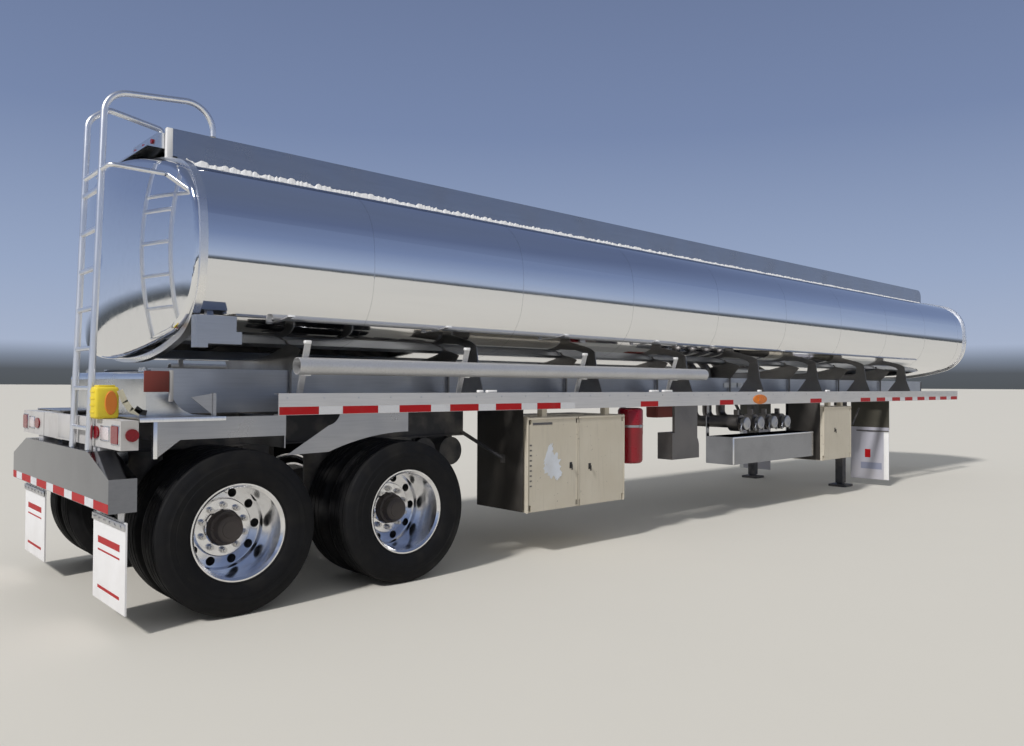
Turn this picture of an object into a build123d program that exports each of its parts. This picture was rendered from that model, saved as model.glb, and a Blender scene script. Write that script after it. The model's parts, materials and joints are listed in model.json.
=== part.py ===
from build123d import *
import os
from math import hypot, sqrt

os.makedirs("parts", exist_ok=True)

# Fuel tanker semi-trailer with an oval polished tank. Millimetres.
# +X points forward, +Y to the left, +Z up. The origin is on the ground under the middle.

# Overall sizes and stations. A station is measured forward from the rear axle.
overall_length = 13700.0
overall_width = 2440.0
rear_overhang = 755.0
axle_spread = 1245.0
kingpin_setback = 914.0
coupler_height = 1195.0
seat_gap = 0.3

half_width = overall_width / 2
x_rear_axle = -overall_length / 2 + rear_overhang
x_front_axle = x_rear_axle + axle_spread
x_bumper = -overall_length / 2
x_nose = overall_length / 2
x_kingpin = x_nose - kingpin_setback


def station(distance):
    return x_rear_axle + distance


def sagitta(radius, reach):
    """How far an arc falls from its crown at a distance from its middle."""
    return radius - sqrt(radius**2 - reach**2)


# Tank section: an oval of three radii
tank_width = overall_width - 40.0
tank_half = tank_width / 2
tank_height = 1336.0
tank_centre_z = 2262.0
crown_radius = 3000.0
flank_radius = 1100.0
corner_radius = 445.0
head_dish_radius = 3600.0
head_flange = 34.0
head_knuckle = 42.0
head_depth = sagitta(head_dish_radius, tank_half) + head_flange
ring_width = 46.0
ring_height = 24.0
x_head_rear = station(-250)
x_head_front = x_nose - head_depth

# Overturn rails along the top
overturn_y = 685.0
overturn_thickness = 36.0
overturn_top_z = 3060.0
x_overturn_end = x_head_front - 555.0
rail_tip = 64.0
cross_panel_thickness = 50.0
front_panel_setback = 190.0

# Side rails
rail_bottom_z = 1224.0
rail_height = 140.0
rail_depth = 62.0
rail_wall = 7.0
x_rail_start = station(230)
x_rail_end = x_head_front - 405.0

# Frame beams
beam_y = 480.0
beam_width = 80.0
beam_wall = 10.0
beam_bottom_z = 1224.0
beam_height = 300.0
beam_band = 75.0
beam_recess = 6.0
bogie_bottom_z = 985.0
bogie_start = -590.0
bogie_end = 2330.0
saddle_thickness = 9.0

# Wheels
tyre_radius = 510.0
tyre_width = 279.0
rim_radius = 286.0
rim_lip_radius = 300.0
dual_spacing = 330.0
dual_centre_y = half_width - 312.0
hand_hole_radius = 29.0
hand_hole_circle = 222.0
hand_hole_count = 10
spindle_radius = 45.0
spindle_clearance = 0.05
hub_length_out = 152.0
hub_wall = 26.0
axle_tube_radius = 64.0

# Bumper
bumper_bottom_z = 700.0
bumper_end_z = 890.0
bumper_top_z = 1020.0
bumper_half_width = tank_half
bumper_top_half = 790.0
bumper_depth = 150.0
bumper_wall = 8.0
bumper_arm_end = -445.0
bumper_arm_height = 80.0
bumper_arm_width = 70.0

# Tool cabinets
cabinet_outer_y = tank_half
cabinet_wall = 14.0
door_thickness = 20.0
door_gap = 5.0
knuckle_radius = 9.0
large_cabinet_length = 1205.0
large_cabinet_rear_door = 590.0
large_cabinet_bottom = 370.0
large_cabinet_top = 1160.0
large_cabinet_inner_y = 560.0
small_cabinet_length = 745.0
small_cabinet_bottom = 490.0
small_cabinet_top = 1170.0
small_cabinet_inner_y = 700.0

# Equipment under the frame, from the bogie forward to the landing legs' shoes: the room that
# it leaves is shared out between the pieces
leg_setback = 2881.0
shoe_size = 260.0
extinguisher_radius = 88.0
housing_length = 460.0
trough_length = 1850.0
underfloor_lengths = (
    large_cabinet_length,
    2 * extinguisher_radius,
    housing_length,
    trough_length,
    small_cabinet_length,
)
underfloor_shares = (120.0, 147.0, 452.0, 750.0, 125.0, 660.0)
x_underfloor_end = x_kingpin - leg_setback - shoe_size / 2
underfloor_spare = x_underfloor_end - station(bogie_end) - sum(underfloor_lengths)


def underfloor_start(index):
    """Station where a piece of the equipment starts."""
    share = sum(underfloor_shares[: index + 1]) / sum(underfloor_shares)
    return bogie_end + sum(underfloor_lengths[:index]) + underfloor_spare * share


large_cabinet_start = underfloor_start(0)
large_cabinet_end = large_cabinet_start + large_cabinet_length
large_cabinet_split = large_cabinet_start + large_cabinet_rear_door
extinguisher_station = underfloor_start(1) + extinguisher_radius
housing_start = underfloor_start(2)
housing_end = housing_start + housing_length
trough_start = underfloor_start(3)
trough_end = trough_start + trough_length
small_cabinet_start = underfloor_start(4)
small_cabinet_end = small_cabinet_start + small_cabinet_length

# Manholes
manhole_first = 1350.0
manhole_setback = 2355.0
compartment_count = 4
manhole_pitch = (x_head_front - manhole_setback - station(manhole_first)) / (compartment_count - 1)
manhole_stations = [manhole_first + manhole_pitch * i for i in range(compartment_count)]
collar_outer_radius = 280.0
collar_inner_radius = 250.0
collar_top_z = 2985.0
collar_floor_z = 2945.0
lid_thickness = 16.0
lid_radius = 276.0


def save(builder, name):
    builder.part.label = name
    export_step(builder.part, "parts/" + name + ".step")


def block(x, y, z, mode=Mode.ADD):
    """Box between two limits on each axis, in the builder that is open."""
    with Locations(((x[0] + x[1]) / 2, (y[0] + y[1]) / 2, (z[0] + z[1]) / 2)):
        Box(abs(x[1] - x[0]), abs(y[1] - y[0]), abs(z[1] - z[0]), mode=mode)


def rod(start, end, radius, mode=Mode.ADD):
    """Round bar from one point to another, in the builder that is open."""
    axis = Vector(*end) - Vector(*start)
    with Locations(Plane(origin=start, z_dir=axis).location):
        Cylinder(radius, axis.length, align=(Align.CENTER, Align.CENTER, Align.MIN), mode=mode)


def corner_centre(grow):
    """Centre of the oval's corner arc, which touches the crown arc and the flank arc inside."""
    a, b = tank_width / 2 + grow, tank_height / 2 + grow
    crown, flank, corner = crown_radius + grow, flank_radius + grow, corner_radius + grow
    crown_y, flank_x = b - crown, a - flank
    reach_crown, reach_flank = crown - corner, flank - corner
    slope = flank_x / crown_y
    rest = (crown_y**2 - flank_x**2 - reach_crown**2 + reach_flank**2) / (2 * crown_y)
    qa, qb = 1 + slope**2, 2 * (slope * rest - flank_x)
    qc = flank_x**2 + rest**2 - reach_flank**2
    x = (-qb + sqrt(qb**2 - 4 * qa * qc)) / (2 * qa)
    return x, slope * x + rest


def oval_top(y, grow=0.0):
    """Height of the tank's crown above the ground at a distance from the middle."""
    crown = crown_radius + grow
    return tank_centre_z + tank_height / 2 - crown_radius + sqrt(crown**2 - y**2)


def oval_bottom(y, grow=0.0):
    return 2 * tank_centre_z - oval_top(y, grow)


def oval_sketch(grow):
    """The tank's outline, grown by an offset, drawn with y across and z up."""
    a, b = tank_width / 2 + grow, tank_height / 2 + grow
    crown, flank, corner = crown_radius + grow, flank_radius + grow, corner_radius + grow
    cx, cy = corner_centre(grow)
    crown_y, flank_x = b - crown, a - flank
    up = Vector(cx, cy - crown_y).normalized()
    out = Vector(cx - flank_x, cy).normalized()
    mid = (up + out).normalized()
    top = (up.X * crown, crown_y + up.Y * crown)
    side = (flank_x + out.X * flank, out.Y * flank)
    knee = (cx + mid.X * corner, cy + mid.Y * corner)
    z = tank_centre_z

    def at(point, sx, sz):
        return (sx * point[0], z + sz * point[1])

    with BuildSketch() as outline:
        with BuildLine():
            ThreePointArc(at(top, -1, 1), (0, z + b), at(top, 1, 1))
            ThreePointArc(at(top, 1, 1), at(knee, 1, 1), at(side, 1, 1))
            ThreePointArc(at(side, 1, 1), (a, z), at(side, 1, -1))
            ThreePointArc(at(side, 1, -1), at(knee, 1, -1), at(top, 1, -1))
            ThreePointArc(at(top, 1, -1), (0, z - b), at(top, -1, -1))
            ThreePointArc(at(top, -1, -1), at(knee, -1, -1), at(side, -1, -1))
            ThreePointArc(at(side, -1, -1), (-a, z), at(side, -1, 1))
            ThreePointArc(at(side, -1, 1), at(knee, -1, 1), at(top, -1, 1))
        make_face()
    return outline.sketch


OVAL = oval_sketch(0.0)
OVAL_SEAT = oval_sketch(seat_gap)


# Tank barrel
with BuildPart() as tank_shell:
    with BuildSketch(Plane.YZ.offset(x_head_rear)):
        add(OVAL)
    extrude(amount=x_head_front - x_head_rear)
save(tank_shell, "tank_shell")


# Dished heads: a short straight flange turned to a large dish, with its edge rolled over
x_dish = x_head_rear - head_depth
dish_rim = tank_half + head_flange
x_dish_rim = x_dish + sagitta(head_dish_radius, dish_rim)
with BuildPart() as tank_head_rear:
    with BuildSketch(Plane.YZ.offset(x_head_rear)):
        add(OVAL)
    extrude(amount=-head_depth)
    with BuildSketch(Plane.XZ):
        with BuildLine():
            ThreePointArc(
                (x_dish, tank_centre_z),
                (x_dish + sagitta(head_dish_radius, dish_rim / 2), tank_centre_z + dish_rim / 2),
                (x_dish_rim, tank_centre_z + dish_rim),
            )
            Polyline(
                (x_dish_rim, tank_centre_z + dish_rim),
                (x_dish - head_flange, tank_centre_z + dish_rim),
                (x_dish - head_flange, tank_centre_z),
                (x_dish, tank_centre_z),
            )
        make_face()
    revolve(axis=Axis((0, 0, tank_centre_z), (1, 0, 0)), mode=Mode.SUBTRACT)
    fillet(tank_head_rear.faces().sort_by(Axis.X)[0].edges(), radius=head_knuckle)
save(tank_head_rear, "tank_head_rear")

with BuildPart() as tank_head_front:
    mirror(tank_head_rear.part, about=Plane.YZ.offset((x_head_rear + x_head_front) / 2))
save(tank_head_front, "tank_head_front")

# Bright rings over the joints between the barrel and its heads
with BuildPart() as head_rings:
    for x_ring in (x_head_rear, x_head_front):
        with BuildSketch(Plane.YZ.offset(x_ring - ring_width / 2)):
            add(oval_sketch(ring_height))
            add(OVAL_SEAT, mode=Mode.SUBTRACT)
        extrude(amount=ring_width)
save(head_rings, "head_rings")


# Overturn rails and the panels that close them at the ends
def overturn_rail(side):
    """Flat rail on the crown, with a tip that stands over the rear ring."""
    x_start = x_head_rear + ring_width / 2 + seat_gap
    inner = overturn_y - overturn_thickness / 2
    outer = overturn_y + overturn_thickness / 2
    with BuildPart() as rail:
        with BuildSketch(Plane.YZ.offset(x_start)):
            with BuildLine():
                Polyline(
                    (side * inner, oval_top(outer) - 20),
                    (side * outer, oval_top(outer) - 20),
                    (side * outer, overturn_top_z),
                    (side * inner, overturn_top_z),
                    close=True,
                )
            make_face()
            add(OVAL_SEAT, mode=Mode.SUBTRACT)
        extrude(amount=x_overturn_end - x_start)
        nose = rail.faces().sort_by(Axis.X)[-1].edges().sort_by(Axis.Z)[-1]
        fillet(nose, radius=120)
        block(
            (x_start - rail_tip, x_start + 1),
            (side * inner, side * outer),
            (oval_top(inner, ring_height) + 3, overturn_top_z),
        )
    return rail


save(overturn_rail(1), "overturn_rail_left")
save(overturn_rail(-1), "overturn_rail_right")

# Cross panels between the rails' ends. The rear one carries the lamp box and its deck.
cross_half = overturn_y - overturn_thickness / 2 - seat_gap
x_panel_rear = x_head_rear + ring_width / 2 + seat_gap
x_panel_front = x_overturn_end - front_panel_setback - cross_panel_thickness
x_lamp_box = station(-335)
x_lamp_deck = station(-400)
x_behind_ring = x_head_rear - ring_width / 2 - 2
lamp_box_outer_y = -660.0
lamp_box_inner_y = -130.0
lamp_box_slope = 45.0
lamp_box_top_z = 3030.0
lamp_deck_left_y = 450.0
lamp_deck_thickness = 12.0
lamp_deck_z = oval_top(0) + 1
with BuildPart() as cross_panels:
    for x_panel in (x_panel_rear, x_panel_front):
        with BuildSketch(Plane.YZ.offset(x_panel)):
            with BuildLine():
                Polyline(
                    (-cross_half, oval_top(cross_half) - 20),
                    (cross_half, oval_top(cross_half) - 20),
                    (cross_half, overturn_top_z),
                    (-cross_half, overturn_top_z),
                    close=True,
                )
            make_face()
            add(OVAL_SEAT, mode=Mode.SUBTRACT)
        extrude(amount=cross_panel_thickness)
    with BuildSketch(Plane.YZ.offset(x_lamp_box)):
        with BuildLine():
            Polyline(
                (lamp_box_outer_y, lamp_deck_z + 1),
                (lamp_box_inner_y, lamp_deck_z + 1),
                (lamp_box_inner_y - lamp_box_slope, lamp_box_top_z),
                (lamp_box_outer_y, lamp_box_top_z),
                close=True,
            )
        make_face()
    extrude(amount=x_panel_rear - x_lamp_box)
    block(
        (x_behind_ring, x_panel_rear),
        (lamp_box_outer_y, lamp_box_inner_y),
        (lamp_deck_z, oval_top(0, ring_height) + 2),
        mode=Mode.SUBTRACT,
    )
    block(
        (x_lamp_deck, x_behind_ring),
        (lamp_box_outer_y, lamp_deck_left_y),
        (lamp_deck_z, lamp_deck_z + lamp_deck_thickness),
    )
save(cross_panels, "cross_panels")

# Walkway strip beside the manholes
walkway_inner_y = 300.0
walkway_outer_y = 630.0
walkway_thickness = 12.0
walkway_start = x_panel_rear + cross_panel_thickness + 10
walkway_end = x_panel_front - 10
with BuildPart() as walkway:
    with BuildSketch(Plane.YZ.offset(walkway_start)):
        with Locations((-(walkway_inner_y + walkway_outer_y) / 2, oval_top(0))):
            Rectangle(walkway_outer_y - walkway_inner_y, 400)
        add(oval_sketch(walkway_thickness), mode=Mode.INTERSECT)
        add(OVAL_SEAT, mode=Mode.SUBTRACT)
    extrude(amount=walkway_end - walkway_start)
save(walkway, "walkway")

# Manhole collars, open at the top, each with the ears of its lid's hinge
hinge_offset = collar_outer_radius + 26
lid_bottom_z = collar_top_z + seat_gap
lid_hinge_z = lid_bottom_z + lid_thickness / 2
ear_thickness = 12.0
lid_arm_half = 60.0
with BuildPart() as collars:
    for x_manhole in [station(distance) for distance in manhole_stations]:
        with BuildSketch(Plane.XY.offset(oval_top(collar_outer_radius) - 40)):
            with Locations((x_manhole, 0)):
                Circle(collar_outer_radius)
        extrude(amount=collar_top_z - oval_top(collar_outer_radius) + 40)
        for y in (-lid_arm_half - ear_thickness - 2, lid_arm_half + 2):
            block(
                (x_manhole - hinge_offset - 16, x_manhole - collar_outer_radius + 16),
                (y, y + ear_thickness),
                (lid_hinge_z - 40, lid_hinge_z + 16),
            )
        with BuildSketch(Plane.XY.offset(collar_floor_z)):
            with Locations((x_manhole, 0)):
                Circle(collar_inner_radius)
        extrude(amount=400, mode=Mode.SUBTRACT)
        block(
            (x_manhole - collar_outer_radius, x_manhole + collar_outer_radius),
            (-collar_outer_radius, collar_outer_radius),
            (collar_top_z, collar_top_z + 100),
            mode=Mode.SUBTRACT,
        )
    with BuildSketch(Plane.YZ.offset(x_head_rear)):
        add(OVAL_SEAT)
    extrude(amount=x_head_front - x_head_rear, mode=Mode.SUBTRACT)
save(collars, "manhole_collars")

for number, distance in enumerate(manhole_stations, start=1):
    x_manhole = station(distance)
    x_hinge = x_manhole - hinge_offset
    with BuildPart() as lid:
        with BuildSketch(Plane.XY.offset(lid_bottom_z)):
            with Locations((x_manhole, 0)):
                Circle(lid_radius)
        extrude(amount=lid_thickness)
        block(
            (x_hinge, x_manhole - lid_radius + 60),
            (-lid_arm_half, lid_arm_half),
            (lid_bottom_z, lid_bottom_z + lid_thickness),
        )
        with BuildSketch(Plane.XZ.offset(-lid_arm_half)):
            with Locations((x_hinge, lid_hinge_z)):
                Circle(lid_thickness / 2)
        extrude(amount=2 * lid_arm_half)
        with BuildSketch(Plane.XY.offset(lid_bottom_z + lid_thickness)):
            with Locations((x_manhole + 40, 0)):
                Circle(135)
        extrude(amount=34)
        fillet(lid.faces().sort_by(Axis.Z)[-1].edges(), radius=10)
    save(lid, "manhole_lid_" + str(number))

# Vapour pipe along the left of the manholes, with a hood at each compartment
vapour_y = 440.0
vapour_radius = 38.0
vapour_z = oval_top(vapour_y) + vapour_radius + 22
with BuildPart() as vapour_line:
    rod(
        (station(manhole_stations[0]), vapour_y, vapour_z),
        (station(manhole_stations[-1] + 900), vapour_y, vapour_z),
        vapour_radius,
    )
    for distance in manhole_stations:
        with BuildSketch(Plane.XY.offset(oval_top(vapour_y + 90) - 30)):
            with Locations((station(distance), vapour_y + 8)):
                RectangleRounded(260, 190, 60)
        extrude(amount=vapour_z + vapour_radius - oval_top(vapour_y + 90) + 34)
    block(
        (station(manhole_stations[-1] + 860), station(manhole_stations[-1] + 940)),
        (vapour_y - 45, vapour_y + 45),
        (oval_top(vapour_y + 45) - 30, vapour_z + 45),
    )
    with BuildSketch(Plane.YZ.offset(x_head_rear)):
        add(OVAL_SEAT)
    extrude(amount=x_head_front - x_head_rear, mode=Mode.SUBTRACT)
save(vapour_line, "vapour_line")

# Side rails: channels that open inwards
def side_rail(side):
    with BuildPart() as rail:
        with BuildSketch(Plane.YZ.offset(x_rail_start)):
            with Locations((side * (half_width - rail_depth / 2), rail_bottom_z + rail_height / 2)):
                Rectangle(rail_depth, rail_height)
            with Locations((side * (half_width - rail_wall - rail_depth / 2), rail_bottom_z + rail_height / 2)):
                Rectangle(rail_depth, rail_height - 2 * rail_wall, mode=Mode.SUBTRACT)
        extrude(amount=x_rail_end - x_rail_start)
    return rail


save(side_rail(1), "side_rail_left")
save(side_rail(-1), "side_rail_right")

# Rear bolster across the bogie beams: a cover open below, with a curved gusset at either end
bolster_rear = -450.0
bolster_front = -310.0
bolster_half = 850.0
bolster_bottom_z = beam_bottom_z + seat_gap
bolster_top_z = 1500.0
bolster_wall = 8.0
gusset_front = -104.0
gusset_top_z = 1420.0
gusset_belly = (-255.0, 1280.0)
with BuildPart() as rear_fittings:
    block(
        (station(bolster_rear), station(bolster_front)),
        (-bolster_half, bolster_half),
        (bolster_bottom_z, bolster_top_z),
    )
    fillet(rear_fittings.faces().sort_by(Axis.X)[0].edges().sort_by(Axis.Z)[-1], radius=50)
    offset(amount=-bolster_wall, openings=rear_fittings.faces().sort_by(Axis.Z)[0])
    for side in (-1, 1):
        with BuildSketch(Plane.XZ.offset(-side * bolster_half)):
            with BuildLine():
                Polyline(
                    (station(bolster_front), gusset_top_z),
                    (station(bolster_front) - bolster_wall / 2, gusset_top_z),
                    (station(bolster_front) - bolster_wall / 2, bolster_bottom_z),
                    (station(gusset_front), bolster_bottom_z),
                )
                ThreePointArc(
                    (station(gusset_front), bolster_bottom_z),
                    (station(gusset_belly[0]), gusset_belly[1]),
                    (station(bolster_front), gusset_top_z),
                )
            make_face()
        extrude(amount=side * bolster_wall)
save(rear_fittings, "rear_fittings")

# Frame beams under the tank, and the deeper bogie beams below them at the back
beam_inner = beam_y - beam_width / 2
beam_outer = beam_y + beam_width / 2
beam_top_z = beam_bottom_z + beam_height
x_beam_start = station(bolster_front) + seat_gap
x_beam_end = x_head_front - 60.0
beam_section = (
    (beam_inner, beam_bottom_z),
    (beam_outer, beam_bottom_z),
    (beam_outer, beam_bottom_z + beam_band),
    (beam_outer - beam_recess, beam_bottom_z + beam_band),
    (beam_outer - beam_recess, beam_top_z - beam_wall),
    (beam_outer, beam_top_z - beam_wall),
    (beam_outer, beam_top_z),
    (beam_inner, beam_top_z),
    (beam_inner, beam_top_z - beam_wall),
    (beam_outer - beam_recess - beam_wall, beam_top_z - beam_wall),
    (beam_outer - beam_recess - beam_wall, beam_bottom_z + beam_wall),
    (beam_inner, beam_bottom_z + beam_wall),
)
with BuildPart() as frame_beams:
    for side in (-1, 1):
        with BuildSketch(Plane.YZ.offset(x_beam_start)):
            with BuildLine():
                Polyline(*[(side * y, z) for y, z in beam_section], close=True)
            make_face()
        extrude(amount=x_beam_end - x_beam_start)
save(frame_beams, "frame_beams")

bogie_top_z = beam_bottom_z
bogie_mid_z = (bogie_bottom_z + bogie_top_z) / 2
cross_member_length = 60.0
with BuildPart() as bogie_frame:
    for side in (-1, 1):
        with BuildSketch(Plane.YZ.offset(station(bogie_start))):
            with Locations((side * beam_y, bogie_mid_z)):
                Rectangle(beam_width, bogie_top_z - bogie_bottom_z)
            for edge in (-1, 1):
                with Locations((side * beam_y + edge * beam_width / 2, bogie_mid_z)):
                    Rectangle(
                        beam_width - beam_wall,
                        bogie_top_z - bogie_bottom_z - 2 * beam_wall,
                        mode=Mode.SUBTRACT,
                    )
        extrude(amount=bogie_end - bogie_start)
    for distance in (-480, 420, axle_spread - 300, axle_spread + 420, bogie_end - cross_member_length):
        block(
            (station(distance), station(distance) + cross_member_length),
            (-beam_y + beam_wall / 2, beam_y - beam_wall / 2),
            (bogie_bottom_z + 40, bogie_top_z - 30),
        )
save(bogie_frame, "bogie_frame")

# Saddles: plates over the beams, cut to the tank's underside, with arms out to the side rails
saddle_first = 657.0
saddle_pitch = 1465.0
saddle_count = 8
saddle_strip = 24.0
saddle_foot_z = beam_top_z + seat_gap
saddle_foot_y = beam_outer + seat_gap
saddle_outer = half_width - rail_wall - seat_gap
saddle_low_z = rail_bottom_z + rail_wall + seat_gap
saddle_shoulder_z = rail_bottom_z + rail_height - rail_wall - seat_gap
cradle_half = 700.0
cradle_tip_z = 1700.0
saddle_half = (
    (saddle_foot_y, saddle_low_z),
    (saddle_outer, saddle_low_z),
    (saddle_outer, saddle_shoulder_z),
    (saddle_foot_y + saddle_strip, saddle_shoulder_z),
    (saddle_foot_y + saddle_strip, saddle_foot_z),
    (cradle_half, cradle_tip_z),
)
brace_outline = (
    (650.0, saddle_shoulder_z - 1),
    (1000.0, saddle_shoulder_z - 1),
    (940.0, 1515.0),
    (905.0, 1760.0),
    (810.0, 1760.0),
    (770.0, 1515.0),
)
with BuildPart() as saddles:
    for i in range(saddle_count):
        with BuildSketch(Plane.YZ.offset(station(saddle_first + i * saddle_pitch))):
            with BuildLine():
                Polyline(
                    (-saddle_foot_y, saddle_foot_z),
                    *[(-y, z) for y, z in saddle_half],
                    *reversed(saddle_half),
                    (saddle_foot_y, saddle_foot_z),
                    close=True,
                )
            make_face()
            for side in (-1, 1) if i else ():
                with BuildLine():
                    Polyline(*[(side * y, z) for y, z in brace_outline], close=True)
                make_face()
            add(OVAL_SEAT, mode=Mode.SUBTRACT)
        extrude(amount=saddle_thickness)
save(saddles, "saddles")

# Hose tubes under the tank's flanks, held by leaning stakes from the side rails
tray_start = 390.0
tray_end = 5040.0
tube_y = half_width - 70.0
tube_z = 1542.0
tube_radius = 57.0
tube_wall = 4.0
stake_first = 450.0
stake_pitch = 1360.0
stake_count = 4
stake_width = 40.0
stake_half = 9.0
stake_foot_y = half_width - 185.0
stake_top_y = half_width - 72.0
stake_top_z = 1702.0
stake_foot_height = 14.0
with BuildPart() as hose_trays:
    for side in (-1, 1):
        with BuildSketch(Plane.YZ.offset(station(tray_start))):
            with Locations((side * tube_y, tube_z)):
                Circle(tube_radius)
        extrude(amount=tray_end - tray_start)
        for i in range(stake_count):
            x_stake = station(stake_first + i * stake_pitch)
            with BuildSketch(Plane.YZ.offset(x_stake)):
                with BuildLine():
                    Polyline(
                        (side * (stake_foot_y - stake_half), saddle_shoulder_z - stake_foot_height / 2),
                        (side * (stake_foot_y + stake_half), saddle_shoulder_z - stake_foot_height / 2),
                        (side * (stake_top_y + stake_half), stake_top_z),
                        (side * (stake_top_y - stake_half), stake_top_z),
                        close=True,
                    )
                make_face()
            extrude(amount=stake_width)
            block(
                (x_stake, x_stake + stake_width),
                (side * (stake_foot_y - 20), side * saddle_outer),
                (saddle_shoulder_z - stake_foot_height, saddle_shoulder_z),
            )
        with BuildSketch(Plane.YZ.offset(station(tray_start))):
            with Locations((side * tube_y, tube_z)):
                Circle(tube_radius - tube_wall)
        extrude(amount=tray_end - tray_start, mode=Mode.SUBTRACT)
save(hose_trays, "hose_trays")

# Wheel skirts under the side rails, with the deck plates and corner posts behind them
arch_y = cabinet_outer_y - 4.0
arch_thickness = 6.0
arch_start = -520.0
arch_clearance = 75.0
arch_bottom_z = 2 * tyre_radius + arch_clearance
arch_top_z = rail_bottom_z - seat_gap
deck_start = -597.0
deck_end = -100.0
post_bottom_z = 990.0
post_width = 24.0
bracket_y = half_width - 70.0
bracket_rear = -165.0
bracket_front = -145.0
bracket_top_z = 1367.0
gusset_thickness = 8.0

# Rear skirt: station, height
rear_skirt_end = 292.0
rear_skirt = (
    (arch_start, arch_top_z),
    (rear_skirt_end, arch_top_z),
    (rear_skirt_end, arch_bottom_z),
    (arch_start + 150.0, arch_bottom_z),
    (arch_start + 10.0, post_bottom_z),
    (arch_start, post_bottom_z),
)

# Middle skirt, swept down between the wheels to a tip just behind the rear skirt
sweep_top = (axle_spread - 562.0, arch_top_z)
sweep_knee = (axle_spread - 645.0, 1150.0)
sweep_bend = (axle_spread - 592.0, 1176.0)
sweep_tip = (axle_spread - 945.0, 968.0)
sweep_heel = (axle_spread - 645.0, 975.0)
sweep_arch = (axle_spread - 345.0, 1058.0)
middle_skirt_end = axle_spread - 6.0

# Plates across from the skirts to the beams: station, bottom
cross_gussets = (
    (arch_start + 10.0, arch_bottom_z),
    (rear_skirt_end - gusset_thickness, post_bottom_z + 25.0),
    (middle_skirt_end - gusset_thickness, arch_bottom_z),
)


def at_station(point):
    return station(point[0]), point[1]


with BuildPart() as arch_plates:
    for side in (-1, 1):
        with BuildSketch(Plane.XZ.offset(-side * arch_y)):
            with BuildLine():
                Polyline(*[at_station(point) for point in rear_skirt], close=True)
            make_face()
            with BuildLine():
                Line(at_station(sweep_tip), at_station(sweep_knee))
                ThreePointArc(at_station(sweep_knee), at_station(sweep_bend), at_station(sweep_top))
                Polyline(
                    at_station(sweep_top),
                    at_station((middle_skirt_end, arch_top_z)),
                    at_station((middle_skirt_end, arch_bottom_z - 7)),
                )
                ThreePointArc(
                    at_station((middle_skirt_end, arch_bottom_z - 7)),
                    at_station(sweep_arch),
                    at_station(sweep_heel),
                )
                Line(at_station(sweep_heel), at_station(sweep_tip))
            make_face()
        extrude(amount=-side * arch_thickness)
        for distance, low in cross_gussets:
            block(
                (station(distance), station(distance) + gusset_thickness),
                (side * (beam_outer + seat_gap), side * arch_y),
                (low, arch_top_z - arch_thickness + 1),
            )
        block(
            (station(deck_start), station(deck_end)),
            (side * (beam_outer + seat_gap), side * arch_y),
            (arch_top_z - arch_thickness, arch_top_z),
        )
        block(
            (station(arch_start), station(arch_start) + post_width),
            (side * (arch_y - post_width), side * arch_y),
            (post_bottom_z, arch_top_z - 1),
        )
        block(
            (station(bracket_rear), station(bracket_front)),
            (side * (bracket_y - 15), side * (bracket_y + 15)),
            (arch_top_z - 1, bracket_top_z),
        )
        with BuildSketch(Plane.XZ.offset(-side * bracket_y)):
            with BuildLine():
                Polyline(
                    (station(bracket_front - 2), arch_top_z - 1),
                    (station(bracket_front - 2), bracket_top_z),
                    (station(bracket_rear - 130), bracket_top_z - 26),
                    close=True,
                )
            make_face()
        extrude(amount=arch_thickness)
save(arch_plates, "arch_plates")

# Bumper: a polished pan with chamfered shoulders, open towards the wheels
with BuildPart() as rear_bumper:
    with BuildSketch(Plane.YZ.offset(x_bumper)):
        with BuildLine():
            Polyline(
                (-bumper_half_width, bumper_bottom_z),
                (bumper_half_width, bumper_bottom_z),
                (bumper_half_width, bumper_end_z),
                (bumper_top_half, bumper_top_z),
                (-bumper_top_half, bumper_top_z),
                (-bumper_half_width, bumper_end_z),
                close=True,
            )
        make_face()
    extrude(amount=bumper_depth)
    offset(amount=-bumper_wall, openings=rear_bumper.faces().sort_by(Axis.X)[-1])
    for side in (-1, 1):
        block(
            (x_bumper + bumper_wall - 1, station(bumper_arm_end)),
            (side * (beam_y - bumper_arm_width / 2), side * (beam_y + bumper_arm_width / 2)),
            (bogie_bottom_z - seat_gap - bumper_arm_height, bogie_bottom_z - seat_gap),
        )
save(rear_bumper, "rear_bumper")

# Rear light bar: a lamp box on either side of the plate panel, on feet on the bumper
light_bar_rear = -692.0
light_bar_front = -597.0
light_bar_bottom_z = 1045.0
light_bar_top_z = 1212.0
light_box_inner_y = 560.0
light_box_outer_y = arch_y - 6.0
light_box_wall = 5.0
plate_half = 545.0
plate_thickness = 30.0
lamp_face = 10.0


def light_box(side):
    with BuildPart() as box:
        block(
            (station(light_bar_rear), station(light_bar_front)),
            (side * light_box_inner_y, side * light_box_outer_y),
            (light_bar_bottom_z, light_bar_top_z),
        )
        offset(amount=-light_box_wall, openings=box.faces().sort_by(Axis.X)[-1])
        block(
            (station(light_bar_rear + 12), station(light_bar_front - 12)),
            (side * 620, side * 760),
            (bumper_top_z + seat_gap, light_bar_bottom_z + 1),
        )
    return box.part


with BuildPart() as light_bar:
    add(light_box(1))
    add(light_box(-1))
    block(
        (station(light_bar_rear), station(light_bar_rear) + plate_thickness),
        (-plate_half, plate_half),
        (light_bar_bottom_z, light_bar_top_z + 3),
    )
    block(
        (station(light_bar_rear) + plate_thickness - 1, station(light_bar_rear) + plate_thickness + 12),
        (-light_box_inner_y - light_box_wall / 2, light_box_inner_y + light_box_wall / 2),
        (light_bar_bottom_z + 25, light_bar_bottom_z + 65),
    )
save(light_bar, "light_bar")

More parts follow.
